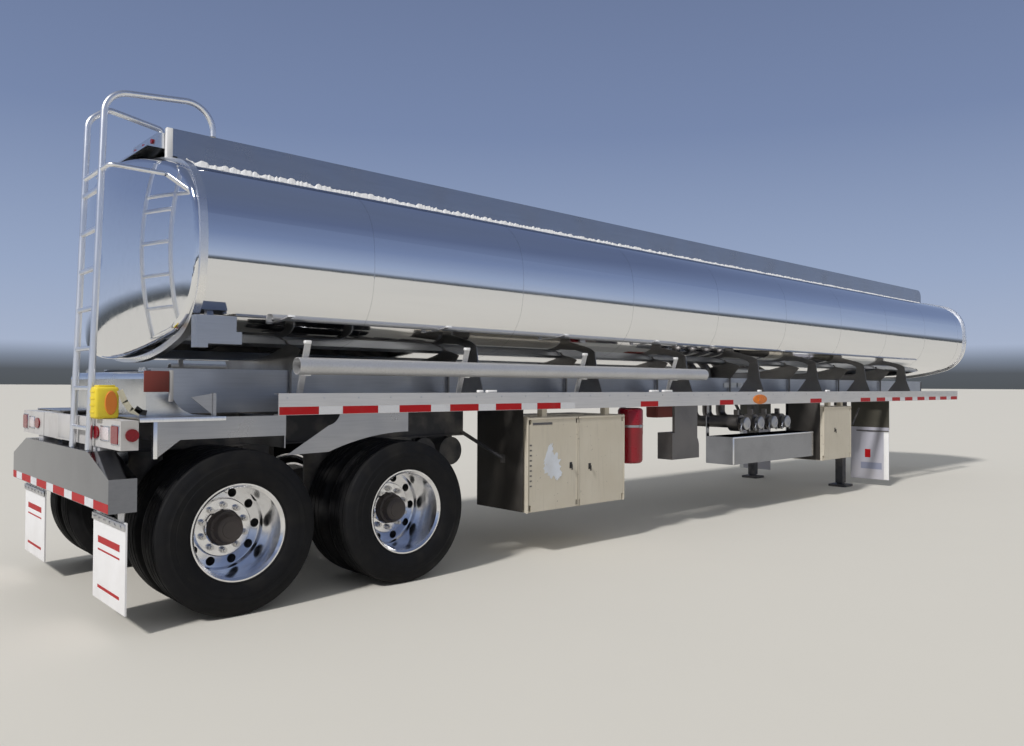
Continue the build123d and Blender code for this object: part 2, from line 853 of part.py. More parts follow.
lamp_z = 1130.0
oval_lamp_y = 730.0
square_lamp_y = 1102.0
side_lamp_x = -633.0
top_lamp_z = 2990.0
with BuildPart() as rear_lamps:
    with BuildSketch(Plane.YZ.offset(station(light_bar_rear) - seat_gap)):
        for side in (-1, 1):
            with Locations((side * oval_lamp_y, lamp_z)):
                Ellipse(65, 38)
            with Locations((side * square_lamp_y, lamp_z)):
                RectangleRounded(124, 100, 12)
    extrude(amount=-lamp_face)
    for side in (-1, 1):
        rod(
            (station(side_lamp_x), side * (light_box_outer_y + seat_gap), lamp_z),
            (station(side_lamp_x), side * (light_box_outer_y + lamp_face), lamp_z),
            36,
        )
    for y in (-560, -400, -240):
        rod((x_lamp_box - seat_gap, y, top_lamp_z), (x_lamp_box - lamp_face, y, top_lamp_z), 16)
save(rear_lamps, "rear_lamps")

# Mud flaps behind, on straps from the bumper, and splash panels with flaps ahead
flap_thickness = 10.0
flap_outer_y = cabinet_outer_y + 15.0
rear_flap_x = -668.0
rear_flap_inner_y = 605.0
rear_flap_bottom_z = 130.0
rear_flap_top_z = 645.0
flap_strap_width = 80.0
with BuildPart() as rear_mud_flaps:
    for side in (-1, 1):
        block(
            (station(rear_flap_x), station(rear_flap_x) + flap_thickness),
            (side * rear_flap_inner_y, side * flap_outer_y),
            (rear_flap_bottom_z, rear_flap_top_z),
        )
        for y in (rear_flap_inner_y + 60, flap_outer_y - 60 - flap_strap_width):
            block(
                (station(rear_flap_x), station(rear_flap_x) + flap_thickness),
                (side * y, side * (y + flap_strap_width)),
                (rear_flap_top_z - 1, bumper_bottom_z - seat_gap),
            )
save(rear_mud_flaps, "rear_mud_flaps")

x_splash = x_kingpin - 2431.0
splash_thickness = 8.0
splash_inner_y = 650.0
splash_bottom_z = 810.0
front_flap_bottom_z = 90.0
with BuildPart() as splash_panels:
    for side in (-1, 1):
        block(
            (x_splash, x_splash + splash_thickness),
            (side * splash_inner_y, side * cabinet_outer_y),
            (splash_bottom_z, rail_bottom_z - seat_gap),
        )
save(splash_panels, "splash_panels")
with BuildPart() as front_mud_flaps:
    for side in (-1, 1):
        block(
            (x_splash - flap_thickness - seat_gap, x_splash - seat_gap),
            (side * splash_inner_y, side * cabinet_outer_y),
            (front_flap_bottom_z, splash_bottom_z + 30),
        )
save(front_mud_flaps, "front_mud_flaps")

# Ladder on the right of the rear head, with the hoop that hands onto the top
ladder_radius = 19.0
ladder_right_y = -700.0
ladder_left_y = -350.0
ladder_foot_x = -727.0
ladder_top_x = -664.0
ladder_bend_z = 3085.0
hoop_bend = 70.0
handrail_bend = 30.0
rung_count = 7
rung_first_z = 1150.0
rung_pitch = 242.7
stay_y = -860.0
stay_z = 2720.0
stay_radius = 14.0
ladder_lean = (ladder_top_x - ladder_foot_x) / (ladder_bend_z - bumper_top_z)
ladder_foot_z = bumper_top_z + seat_gap + ladder_radius * ladder_lean
rail_seat_z = overturn_top_z + seat_gap

# Routes in the ladder's planes: station, height
hoop_route = (
    (ladder_foot_x, ladder_foot_z),
    (ladder_top_x, ladder_bend_z),
    (-590.0, 3196.0),
    (-130.0, 3262.0),
    (3.0, 3180.0),
    (3.0, rail_seat_z),
)
handrail_route = (
    (ladder_foot_x, ladder_foot_z),
    (ladder_top_x, ladder_bend_z),
    (-530.0, 3205.0),
    (-202.0, 3143.0),
    (-202.0, rail_seat_z),
)


def bent_tube(route, y, bend):
    with BuildPart() as tube:
        with BuildLine() as path:
            FilletPolyline(*[(station(x), y, z) for x, z in route], radius=bend)
        with BuildSketch(Plane(origin=path.line @ 0, z_dir=path.line % 0)):
            Circle(ladder_radius)
        sweep(path=path.line)
    return tube.part


def ladder_x(z):
    """Place of the leaning rails at a height."""
    return station(ladder_foot_x + ladder_lean * (z - bumper_top_z))


def head_face_x(y, z):
    """Rear face of the rear head, inside its rolled edge."""
    return x_head_rear - head_depth + sagitta(head_dish_radius, hypot(y, z - tank_centre_z))


with BuildPart() as ladder:
    add(bent_tube(hoop_route, ladder_right_y, hoop_bend))
    add(bent_tube(handrail_route, ladder_left_y, handrail_bend))
    for i in range(rung_count):
        z = rung_first_z + rung_pitch * i
        block(
            (ladder_x(z) - 14, ladder_x(z) + 14),
            (ladder_right_y + ladder_radius / 2, ladder_left_y - ladder_radius / 2),
            (z - 12, z + 12),
        )
    x_stay = ladder_x(stay_z)
    x_stay_end = head_face_x(stay_y + stay_radius, stay_z - stay_radius) - seat_gap
    rod((x_stay, ladder_left_y, stay_z), (x_stay, stay_y, stay_z), stay_radius)
    rod((x_stay, stay_y, stay_z), (x_stay_end, stay_y, stay_z), stay_radius)
    with Locations((x_stay, stay_y, stay_z)):
        Sphere(stay_radius)
save(ladder, "ladder")

# Axle beams with their spindles, brake chambers and spring seats
spindle_end_y = dual_centre_y + hub_length_out - hub_wall - 6
drum_inner_y = 560.0
with BuildPart() as axles:
    for x_axle in (x_rear_axle, x_front_axle):
        rod((x_axle, -drum_inner_y, tyre_radius), (x_axle, drum_inner_y, tyre_radius), axle_tube_radius)
        rod((x_axle, -spindle_end_y, tyre_radius), (x_axle, spindle_end_y, tyre_radius), spindle_radius)
        for side in (-1, 1):
            rod(
                (x_axle - 260, side * 330, tyre_radius + 60),
                (x_axle - 110, side * 330, tyre_radius + 60),
                78,
            )
            block(
                (x_axle - 150, x_axle + 20),
                (side * 318, side * 342),
                (tyre_radius - 20, tyre_radius + 50),
            )
save(axles, "axles")

# Air suspension: hangers, trailing arms and air springs
arm_width = 76.0
arm_bottom_z = tyre_radius + axle_tube_radius
hanger_offset = 400.0
spring_offset = -330.0
air_spring_radius = 105.0
with BuildPart() as suspension:
    for x_axle in (x_rear_axle, x_front_axle):
        for side in (-1, 1):
            y_in, y_out = side * (beam_y - arm_width / 2), side * (beam_y + arm_width / 2)
            with BuildSketch(Plane.XZ.offset(-y_in)):
                with BuildLine():
                    Polyline(
                        (x_axle + hanger_offset - 90, bogie_bottom_z - seat_gap),
                        (x_axle + hanger_offset + 110, bogie_bottom_z - seat_gap),
                        (x_axle + hanger_offset + 60, arm_bottom_z - 30),
                        (x_axle + hanger_offset - 30, arm_bottom_z - 30),
                        close=True,
                    )
                make_face()
            extrude(amount=-side * arm_width)
            with BuildSketch(Plane.XZ.offset(-y_in)):
                with BuildLine():
                    Polyline(
                        (x_axle + hanger_offset, arm_bottom_z),
                        (x_axle + hanger_offset, arm_bottom_z + 90),
                        (x_axle + 60, arm_bottom_z + 110),
                        (x_axle - 120, arm_bottom_z + 90),
                        (x_axle + spring_offset - 90, arm_bottom_z + 60),
                        (x_axle + spring_offset - 90, arm_bottom_z + 30),
                        (x_axle - 90, arm_bottom_z + seat_gap),
                        close=True,
                    )
                make_face()
            extrude(amount=-side * arm_width)
            rod(
                (x_axle + spring_offset, side * beam_y, arm_bottom_z + 40),
                (x_axle + spring_offset, side * beam_y, bogie_bottom_z - seat_gap),
                air_spring_radius,
            )
save(suspension, "suspension")

# Wheels: each side of each axle carries a pair of tyres on one hub
tyre_profile = (
    (-98, rim_radius + seat_gap),
    (-102.5, rim_lip_radius + 0.6),
    (-116, rim_lip_radius + 1),
    (-tyre_width / 2, rim_radius + 95),
    (-132, tyre_radius - 62),
    (-108, tyre_radius - 10),
    (-72, tyre_radius),
)


def tyres(x_axle, side):
    with BuildPart() as pair:
        for row in (-1, 1):
            y_centre = side * (dual_centre_y + row * dual_spacing / 2)
            left = [(y_centre + u, r) for u, r in tyre_profile]
            right = [(y_centre - u, r) for u, r in reversed(tyre_profile)]
            with BuildSketch(Plane(origin=(x_axle, 0, tyre_radius), x_dir=(0, 1, 0), z_dir=(1, 0, 0))):
                with BuildLine():
                    Polyline(*left, *right, close=True)
                make_face()
            revolve(axis=Axis((x_axle, 0, tyre_radius), (0, 1, 0)))
    return pair


# Hub, both discs and both rims as one section: distance from the vehicle's middle, radius
rim_half = 115.0
outer_rim = dual_centre_y + dual_spacing / 2
inner_rim = dual_centre_y - dual_spacing / 2
hub_face_y = dual_centre_y + hub_length_out
hub_back_y = drum_inner_y + 16
pad_y = dual_centre_y + 30
dish_y = dual_centre_y - 2
barrel_radius = rim_radius - 14
lip_height = rim_lip_radius - rim_radius
drum_radius = 222.0
drum_wall = 17.0
hand_hole_back_y = dual_centre_y - 78
wheel_section = (
    (outer_rim + rim_half, rim_lip_radius),
    (outer_rim + rim_half, rim_lip_radius - 9),
    (outer_rim + rim_half - lip_height, rim_radius - 10),
    (outer_rim + 17, barrel_radius),
    (dish_y + 28, barrel_radius - 4),
    (dish_y, barrel_radius - 14),
    (dish_y + 4, 188),
    (pad_y - 5, 185),
    (pad_y, 179),
    (pad_y, 118),
    (pad_y + 6, 110),
    (pad_y + 46, 100),
    (hub_face_y - 62, 88),
    (hub_face_y - 8, 79),
    (hub_face_y, 66),
    (hub_face_y, 0),
    (spindle_end_y + 6, 0),
    (spindle_end_y + 6, spindle_radius + spindle_clearance),
    (hub_back_y, spindle_radius + spindle_clearance),
    (hub_back_y, 100),
    (dual_centre_y - 108, 100),
    (dual_centre_y - 108, drum_radius - drum_wall),
    (hub_back_y, drum_radius - drum_wall),
    (hub_back_y, drum_radius),
    (dual_centre_y - 94, drum_radius),
    (dual_centre_y - 94, 130),
    (dual_centre_y - 14, 130),
    (dual_centre_y - 14, 150),
    (dual_centre_y - 46, hand_hole_circle - hand_hole_radius - 3),
    (dual_centre_y - 70, hand_hole_circle + hand_hole_radius + 1),
    (inner_rim, barrel_radius - 14),
    (inner_rim - rim_half + 16, rim_radius - 22),
    (inner_rim - rim_half, rim_lip_radius - 14),
    (inner_rim - rim_half, rim_lip_radius),
    (inner_rim - rim_half + 12, rim_lip_radius),
    (inner_rim - rim_half + 16, rim_radius),
    (inner_rim + rim_half - 16, rim_radius),
    (inner_rim + rim_half - 12, rim_lip_radius),
    (inner_rim + rim_half, rim_lip_radius),
    (inner_rim + rim_half, rim_radius - 2),
    (inner_rim + rim_half + lip_height, rim_radius - 9),
    (outer_rim - rim_half - lip_height, rim_radius - 9),
    (outer_rim - rim_half, rim_radius - 2),
    (outer_rim - rim_half, rim_lip_radius),
    (outer_rim - rim_half + 12, rim_lip_radius),
    (outer_rim - rim_half + 16, rim_radius),
    (outer_rim + rim_half - 16, rim_radius),
    (outer_rim + rim_half - 12, rim_lip_radius),
)


def rims(x_axle, side):
    with BuildPart() as wheel:
        with BuildSketch(Plane(origin=(x_axle, 0, tyre_radius), x_dir=(0, 1, 0), z_dir=(1, 0, 0))):
            with BuildLine():
                Polyline(*[(side * y, r) for y, r in wheel_section], close=True)
            make_face()
        revolve(axis=Axis((x_axle, 0, tyre_radius), (0, 1, 0)))
        with BuildSketch(Plane.XZ.offset(-side * hand_hole_back_y)):
            with Locations((x_axle, tyre_radius)):
                with PolarLocations(hand_hole_circle, hand_hole_count):
                    Circle(hand_hole_radius)
        extrude(amount=-side * (pad_y + 5 - hand_hole_back_y), mode=Mode.SUBTRACT)
    return wheel


for axle_name, x_axle in (("rear", x_rear_axle), ("front", x_front_axle)):
    for side_name, side in (("left", 1), ("right", -1)):
        save(tyres(x_axle, side), "tyres_" + axle_name + "_" + side_name)
        save(rims(x_axle, side), "wheels_" + axle_name + "_" + side_name)

# Landing gear: two square legs with sand shoes, a cross shaft and a crank
leg_y = beam_y + 220.0
leg_outer = 130.0
leg_inner = 105.0
leg_top_z = rail_bottom_z + 60
leg_inner_bottom_z = 50.0
leg_outer_bottom_z = 560.0
shoe_height = 30.0
with BuildPart() as landing_gear:
    x_leg = x_kingpin - leg_setback
    for side in (-1, 1):
        block(
            (x_leg - leg_outer / 2, x_leg + leg_outer / 2),
            (side * (leg_y - leg_outer / 2), side * (leg_y + leg_outer / 2)),
            (leg_outer_bottom_z, leg_top_z),
        )
        block(
            (x_leg - leg_inner / 2, x_leg + leg_inner / 2),
            (side * (leg_y - leg_inner / 2), side * (leg_y + leg_inner / 2)),
            (leg_inner_bottom_z, leg_outer_bottom_z + 10),
        )
        with BuildSketch(Plane.XY):
            with Locations((x_leg, side * leg_y)):
                RectangleRounded(shoe_size, shoe_size, 30)
        extrude(amount=shoe_height)
        block(
            (x_leg - 40, x_leg + 40),
            (side * (leg_y - 40), side * (leg_y + 40)),
            (shoe_height - 1, leg_inner_bottom_z + 5),
        )
        block(
            (x_leg - leg_outer / 2, x_leg + leg_outer / 2),
            (side * (beam_outer + seat_gap), side * (leg_y - leg_outer / 2 + 1)),
            (beam_bottom_z + 5, leg_top_z),
        )
        rod((x_leg - 50, side * leg_y, 640), (x_leg - 900, side * (beam_y - 10), beam_bottom_z - 26), 22)
        block(
            (x_leg - 950, x_leg - 850),
            (side * (beam_y - 40), side * (beam_y + 40)),
            (beam_bottom_z - 40, beam_bottom_z - seat_gap),
        )
    rod((x_leg, -leg_y, 900), (x_leg, leg_y, 900), 20)
    rod((x_leg, -leg_y - leg_outer / 2 + 2, 900), (x_leg, -leg_y - leg_outer / 2 - 120, 900), 17)
    rod(
        (x_leg, -leg_y - leg_outer / 2 - 110, 890),
        (x_leg + 210, -leg_y - leg_outer / 2 - 110, 1120),
        12,
    )
save(landing_gear, "landing_gear")

# Upper coupler: the plate that rests on a fifth wheel, with a round hole for the kingpin's boss
x_coupler_start = x_kingpin - 881.0
x_coupler_end = x_kingpin + 609.0
coupler_half_width = 560.0
coupler_plate = 12.0
coupler_bar = 20.0
coupler_top_z = coupler_height + coupler_plate
boss_hole_radius = 85.0
with BuildPart() as coupler:
    block(
        (x_coupler_start, x_coupler_end),
        (-coupler_half_width, coupler_half_width),
        (coupler_height, coupler_top_z),
    )
    with BuildSketch(Plane.XY.offset(coupler_height)):
        with Locations((x_kingpin, 0)):
            Circle(boss_hole_radius)
    extrude(amount=coupler_plate, mode=Mode.SUBTRACT)
    for side in (-1, 1):
        block(
            (x_coupler_start, x_coupler_end),
            (side * beam_inner, side * beam_outer),
            (coupler_top_z - 1, beam_bottom_z - seat_gap),
        )
    for x_bar in (x_coupler_start, x_kingpin - 200, x_kingpin + 180, x_coupler_end - coupler_bar):
        block(
            (x_bar, x_bar + coupler_bar),
            (-beam_inner + seat_gap, beam_inner - seat_gap),
            (coupler_top_z - 1, beam_bottom_z + 90),
        )
save(coupler, "coupler_plate")

# Kingpin turned in one piece: lower flange, neck, collar, boss through the plate, flange on top
kingpin_neck_radius = 25.4
kingpin_flange_radius = 35.7
kingpin_drop = 84.0
kingpin_flange_height = 17.5
kingpin_collar_height = 34.0
kingpin_top_radius = 115.0
kingpin_top_height = 14.0
kingpin_low_z = coupler_height - kingpin_drop
kingpin_profile = (
    (0, kingpin_low_z),
    (kingpin_flange_radius, kingpin_low_z),
    (kingpin_flange_radius, kingpin_low_z + kingpin_flange_height),
    (kingpin_neck_radius, kingpin_low_z + kingpin_flange_height),
    (kingpin_neck_radius, coupler_height - kingpin_collar_height),
    (kingpin_flange_radius, coupler_height - kingpin_collar_height),
    (kingpin_flange_radius, coupler_height),
    (boss_hole_radius - seat_gap, coupler_height),
    (boss_hole_radius - seat_gap, coupler_top_z + seat_gap),
    (kingpin_top_radius, coupler_top_z + seat_gap),
    (kingpin_top_radius, coupler_top_z + seat_gap + kingpin_top_height),
    (0, coupler_top_z + seat_gap + kingpin_top_height),
)
with BuildPart() as kingpin:
    with BuildSketch(Plane.XZ):
        with BuildLine():
            Polyline(*[(x_kingpin + r, z) for r, z in kingpin_profile], close=True)
        make_face()
    revolve(axis=Axis((x_kingpin, 0, 0), (0, 0, 1)))
save(kingpin, "kingpin")

# Tool cabinets with hinged doors on the kerb side
door_inner_y = cabinet_outer_y - door_thickness
cabinet_front_y = door_inner_y - seat_gap


def hinge_line(edge, x_edge):
    """Door hinge axis: just outside the door's edge and level with its outer face."""
    return (x_edge + edge * (knuckle_radius + 2), -(cabinet_outer_y - knuckle_radius))


def cabinet(start, end, bottom, top, inner_y, hinge_edges):
    with BuildPart() as box:
        block((station(start), station(end)), (-cabinet_front_y, -inner_y), (bottom, top))
        block(
            (station(start) + cabinet_wall, station(end) - cabinet_wall),
            (-cabinet_front_y - 1, -inner_y - cabinet_wall),
            (bottom + cabinet_wall, top - cabinet_wall),
            mode=Mode.SUBTRACT,
        )
        for edge in hinge_edges:
            x_edge = station(start) if edge < 0 else station(end)
            x_pin, y_pin = hinge_line(edge, x_edge)
            for z in (bottom, top - 60):
                rod((x_pin, y_pin, z), (x_pin, y_pin, z + 60), knuckle_radius)
                block(
                    (x_pin, x_edge - edge * 2),
                    (y_pin - 2, -cabinet_front_y + 14),
                    (z, z + 60),
                )
        for x in (start + 200, end - 200):
            block(
                (station(x) - 30, station(x) + 30),
                (-cabinet_front_y + 4, -cabinet_front_y + 60),
                (top - 1, rail_bottom_z - seat_gap),
            )
    return box


def cabinet_door(x_from, x_to, bottom, top, hinge_edge):
    with BuildPart() as door:
        block((x_from, x_to), (-cabinet_outer_y, -door_inner_y), (bottom + 62, top - 62))
        block((x_from + 24, x_to - 24), (-cabinet_outer_y, -door_inner_y), (bottom + 6, top - 6))
        x_edge = x_from if hinge_edge < 0 else x_to
        x_pin, y_pin = hinge_line(hinge_edge, x_edge)
        rod((x_pin, y_pin, bottom + 60.5), (x_pin, y_pin, top - 60.5), knuckle_radius)
        block(
            (x_pin, x_edge - hinge_edge * 2),
            (y_pin - 3, y_pin + 3),
            (bottom + 64, top - 64),
        )
    return door


save(
    cabinet(
        large_cabinet_start,
        large_cabinet_end,
        large_cabinet_bottom,
        large_cabinet_top,
        large_cabinet_inner_y,
        (-1, 1),
    ),
    "large_cabinet",
)
save(
    cabinet_door(
        station(large_cabinet_start),
        station(large_cabinet_split) - door_gap / 2,
        large_cabinet_bottom,
        large_cabinet_top,
        -1,
    ),
    "large_cabinet_door_rear",
)
save(
    cabinet_door(
        station(large_cabinet_split) + door_gap / 2,
        station(large_cabinet_end),
        large_cabinet_bottom,
        large_cabinet_top,
        1,
    ),
    "large_cabinet_door_front",
)
save(
    cabinet(
        small_cabinet_start,
        small_cabinet_end,
        small_cabinet_bottom,
        small_cabinet_top,
        small_cabinet_inner_y,
        (1,),
    ),
    "small_cabinet",
)
save(
    cabinet_door(
        station(small_cabinet_start),
        station(small_cabinet_end),
        small_cabinet_bottom,
        small_cabinet_top,
        1,
    ),
    "small_cabinet_door",
)

# Fire extinguisher on its bracket
extinguisher_y = -(half_width - 125.0)
extinguisher_bottom_z = 700.0
extinguisher_height = 430.0
extinguisher_valve_z = 1190.0
with BuildPart() as extinguisher:
    x_ext = station(extinguisher_station)
    with BuildSketch(Plane.XY.offset(extinguisher_bottom_z)):
        with Locations((x_ext, extinguisher_y)):
            Circle(extinguisher_radius)
    extrude(amount=extinguisher_height)
    fillet(extinguisher.faces().sort_by(Axis.Z)[-1].edges(), radius=60)
    rod(
        (x_ext, extinguisher_y, extinguisher_bottom_z + extinguisher_height - 30),
        (x_ext, extinguisher_y, extinguisher_valve_z),
        24,
    )
    block(
        (x_ext - 14, x_ext + 90),
        (extinguisher_y - 12, extinguisher_y + 12),
        (extinguisher_valve_z - 20, extinguisher_valve_z + 6),
    )
save(extinguisher, "extinguisher")
with BuildPart() as extinguisher_bracket:
    block(
        (x_ext - 40, x_ext + 40),
        (extinguisher_y + extinguisher_radius + seat_gap, extinguisher_y + extinguisher_radius + 12),
        (extinguisher_bottom_z - 12, rail_bottom_z + 60),
    )
    block(
        (x_ext - 60, x_ext + 60),
        (extinguisher_y - 60, extinguisher_y + extinguisher_radius + 10),
        (extinguisher_bottom_z - 12, extinguisher_bottom_z - seat_gap),
    )
    block(
        (x_ext - 40, x_ext + 40),
        (-saddle_outer, extinguisher_y + extinguisher_radius + 10),
        (rail_bottom_z + rail_wall + seat_gap, rail_bottom_z + 30),
    )
save(extinguisher_bracket, "extinguisher_bracket")

# Loading manifold: a pipe from each compartment, with its valve and adapter
adapter_first = 210.0
adapter_pitch = 300.0
manifold_stations = [trough_start + adapter_first + adapter_pitch * i for i in range(compartment_count)]
pipe_radius = 57.0
adapter_radius = 62.0
adapter_flange_radius = 85.0
pipe_z = 1010.0
adapter_face_y = half_width - 60.0
header_y = -760.0
header_radius = 30.0

# Dark housing beside the pipes, seen from the side: station, height
housing_outer_y = -(half_width - 30.0)
housing_depth = 180.0
housing_bottom_z = 690.0
housing_top_z = 955.0
housing_round = 150.0
with BuildPart() as manifold:
    for distance in manifold_stations:
        x_pipe = station(distance)
        with BuildLine() as run:
            FilletPolyline(
                (x_pipe, -250, oval_bottom(250) + 60),
                (x_pipe, -250, pipe_z),
                (x_pipe, -adapter_face_y + 180, pipe_z),
                radius=110,
            )
        with BuildSketch(Plane(origin=run.line @ 0, z_dir=run.line % 0)):
            Circle(pipe_radius)
        sweep(path=run.line)
        rod((x_pipe, -adapter_face_y + 190, pipe_z), (x_pipe, -adapter_face_y + 60, pipe_z), 92)
        rod((x_pipe, -adapter_face_y + 61, pipe_z), (x_pipe, -adapter_face_y, pipe_z), adapter_radius)
        block((x_pipe - 16, x_pipe + 16), (-adapter_face_y + 100, -adapter_face_y + 150), (pipe_z, pipe_z + 150))
    rod(
        (station(manifold_stations[0]), header_y, pipe_z),
        (station(manifold_stations[-1]), header_y, pipe_z),
        header_radius,
    )
    with BuildSketch(Plane.YZ.offset(x_head_rear)):
        add(OVAL_SEAT)
    extrude(amount=x_head_front - x_head_rear, mode=Mode.SUBTRACT)
    with BuildSketch(Plane.XZ.offset(-housing_outer_y)):
        with BuildLine():
            Line((station(housing_start), housing_top_z), (station(housing_start), housing_bottom_z))
            Line((station(housing_start), housing_bottom_z), (station(housing_end), housing_bottom_z))
            Line(
                (station(housing_end), housing_bottom_z),
                (station(housing_end), housing_top_z - housing_round),
            )
            RadiusArc(
                (station(housing_end), housing_top_z - housing_round),
                (station(housing_end) - housing_round, housing_top_z),
                -housing_round,
            )
            Line((station(housing_end) - housing_round, housing_top_z), (station(housing_start), housing_top_z))
        make_face()
    extrude(amount=-housing_depth)
    block(
        (station(housing_start) + 40, station(housing_end) - 30),
        (housing_outer_y, housing_outer_y + 30),
        (housing_top_z - housing_round, rail_bottom_z - seat_gap),
    )
save(manifold, "manifold")

# Spill trough under the adapters
trough_z = 860.0
trough_depth = 305.0
trough_inner_y = 780.0
trough_outer_y = half_width - 100.0
with BuildPart() as spill_trough:
    block(
        (station(trough_start), station(trough_end)),
        (-trough_outer_y, -trough_inner_y),
        (trough_z - trough_depth, trough_z),
    )
    offset(amount=-4, openings=spill_trough.faces().sort_by(Axis.Z)[-1])
    for x_hanger in (station(trough_start), station(trough_end) - 50):
        block(
            (x_hanger, x_hanger + 50),
            (-trough_inner_y - 4, -trough_inner_y + 6),
            (trough_z - trough_depth, rail_bottom_z + 30),
        )
        block(
            (x_hanger, x_hanger + 50),
            (-trough_inner_y, -(beam_outer + seat_gap)),
            (rail_bottom_z + 20, rail_bottom_z + 30),
        )
save(spill_trough, "spill_trough")

# Air reservoirs across the frame ahead of the wheels
reservoir_radius = 120.0
reservoir_z = bogie_bottom_z - reservoir_radius - 8
with BuildPart() as air_reservoirs:
    for distance in (axle_spread + 640, axle_spread + 920):
        with BuildSketch(Plane.XZ.offset(-520)):
            with Locations((station(distance), reservoir_z)):
                Circle(reservoir_radius)
        extrude(amount=1040)
        for y in (-beam_y, beam_y):
            block(
                (station(distance) - 30, station(distance) + 30),
                (y - 20, y + 20),
                (reservoir_z + 60, bogie_bottom_z - seat_gap),
            )
save(air_reservoirs, "air_reservoirs")

# Document holder on the right flank at the back: station from and to, height from and to
document_outer_y = -(half_width - 30.0)
document_inner_y = document_outer_y + 80.0
document_tiers = (
    (-280.0, -35.0, 1740.0, 1835.0),
    (-280.0, 0.0, 1665.0, 1741.0),
    (-280.0, -210.0, 1640.0, 1666.0),
)
with BuildPart() as document_tube:
    for start, end, low, high in document_tiers:
        block(
            (station(start), station(end)),
            (document_outer_y, document_inner_y),
            (low, high),
        )
    block(
        (station(-160), station(-120)),
        (document_inner_y - 40, document_inner_y + 210),
        (document_tiers[0][2] + 40, document_tiers[0][3] - 15),
    )
    with BuildSketch(Plane.YZ.offset(x_head_rear)):
        add(OVAL_SEAT)
    extrude(amount=1000, mode=Mode.SUBTRACT)
save(document_tube, "document_tube")

# Air and electric connections at the nose
connection_z = beam_bottom_z + 95.0
with BuildPart() as nose_connections:
    block(
        (x_beam_end + seat_gap, x_beam_end + 12),
        (-beam_outer, beam_outer),
        (beam_bottom_z, beam_top_z),
    )
    for y in (-180, 180):
        rod((x_beam_end + 10, y, connection_z), (x_beam_end + 60, y, connection_z), 28)
    rod((x_beam_end + 10, 0, connection_z), (x_beam_end + 70, 0, connection_z), 36)
save(nose_connections, "nose_connections")

# Side marker lamps on the rails
marker_station = 6040.0
marker_half_length = 60.0
marker_height = 50.0
with BuildPart() as marker_lamps:
    for side in (-1, 1):
        block(
            (station(marker_station) - marker_half_length, station(marker_station) + marker_half_length),
            (side * (half_width + seat_gap), side * (half_width + 16)),
            (rail_bottom_z + 30, rail_bottom_z + 30 + marker_height),
        )
save(marker_lamps, "marker_lamps")
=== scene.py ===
import json
import math
import random

import bmesh
import bpy
from bpy.props import FloatProperty, FloatVectorProperty, IntProperty, PointerProperty
from mathutils import Matrix, Vector


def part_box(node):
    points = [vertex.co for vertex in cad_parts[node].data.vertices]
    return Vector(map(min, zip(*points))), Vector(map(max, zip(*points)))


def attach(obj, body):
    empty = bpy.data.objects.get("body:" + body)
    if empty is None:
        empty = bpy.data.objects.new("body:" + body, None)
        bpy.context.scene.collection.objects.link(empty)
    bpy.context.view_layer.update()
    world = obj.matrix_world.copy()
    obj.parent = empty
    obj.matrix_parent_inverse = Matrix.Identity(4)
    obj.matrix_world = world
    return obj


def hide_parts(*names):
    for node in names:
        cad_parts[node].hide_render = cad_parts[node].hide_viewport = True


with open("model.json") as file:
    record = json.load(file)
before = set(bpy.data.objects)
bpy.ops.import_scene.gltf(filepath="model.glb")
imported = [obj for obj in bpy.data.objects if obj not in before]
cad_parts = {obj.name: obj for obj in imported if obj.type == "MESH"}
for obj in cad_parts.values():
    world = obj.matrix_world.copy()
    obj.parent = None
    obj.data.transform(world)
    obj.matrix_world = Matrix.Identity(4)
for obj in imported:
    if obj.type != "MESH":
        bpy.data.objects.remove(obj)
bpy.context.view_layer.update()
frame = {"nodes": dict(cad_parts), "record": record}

bl_info = {
    "name": "Fuel tanker trailer",
    "version": (1, 0, 0),
    "blender": (4, 5, 0),
    "location": "View3D > Sidebar > Trailer",
    "description": "Finishes and small fittings of an oval fuel tanker trailer",
    "category": "Object",
}

NODES = frame["nodes"]

# Places read from the frame, in metres
REAR_AXLE_X = sum(c.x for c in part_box("tyres_rear_left")) / 2
RAIL_LOW, RAIL_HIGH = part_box("side_rail_right")
RAIL_OUTER = -RAIL_LOW.y
BUMPER_LOW, BUMPER_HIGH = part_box("rear_bumper")


def station(distance):
    """Place along the trailer of a distance forward of the rear axle."""
    return REAR_AXLE_X + distance


# Sizes and colours


class TrailerSizes(bpy.types.PropertyGroup):
    """Sizes of the small fittings"""

    tape_height: FloatProperty(
        name="Tape height", description="Height of the red and white tape", default=0.051, unit="LENGTH"
    )
    tape_red: FloatProperty(
        name="Red length", description="Length of a red block of tape", default=0.279, unit="LENGTH"
    )
    tape_white: FloatProperty(
        name="White length", description="Length of a white block of tape", default=0.178, unit="LENGTH"
    )
    tape_thickness: FloatProperty(
        name="Tape thickness", description="How far the tape stands off", default=0.001, unit="LENGTH"
    )
    tyre_width: FloatProperty(
        name="Tyre width", description="Section width of one tyre", default=0.279, unit="LENGTH"
    )
    groove_depth: FloatProperty(
        name="Groove depth", description="Depth of the grooves round the tread", default=0.013, unit="LENGTH"
    )
    groove_width: FloatProperty(
        name="Groove width", description="Width of a groove at the surface", default=0.011, unit="LENGTH"
    )
    nut_circle: FloatProperty(
        name="Nut circle", description="Radius of the circle of wheel nuts", default=0.143, unit="LENGTH"
    )
    nut_count: IntProperty(name="Wheel nuts", description="Nuts on one wheel", default=10, min=4, max=20)
    seam_width: FloatProperty(
        name="Seam width", description="Width of a weld seam round the tank", default=0.006, unit="LENGTH"
    )
    seam_pitch: FloatProperty(
        name="Seam pitch", description="Distance between two seams", default=1.43, unit="LENGTH"
    )


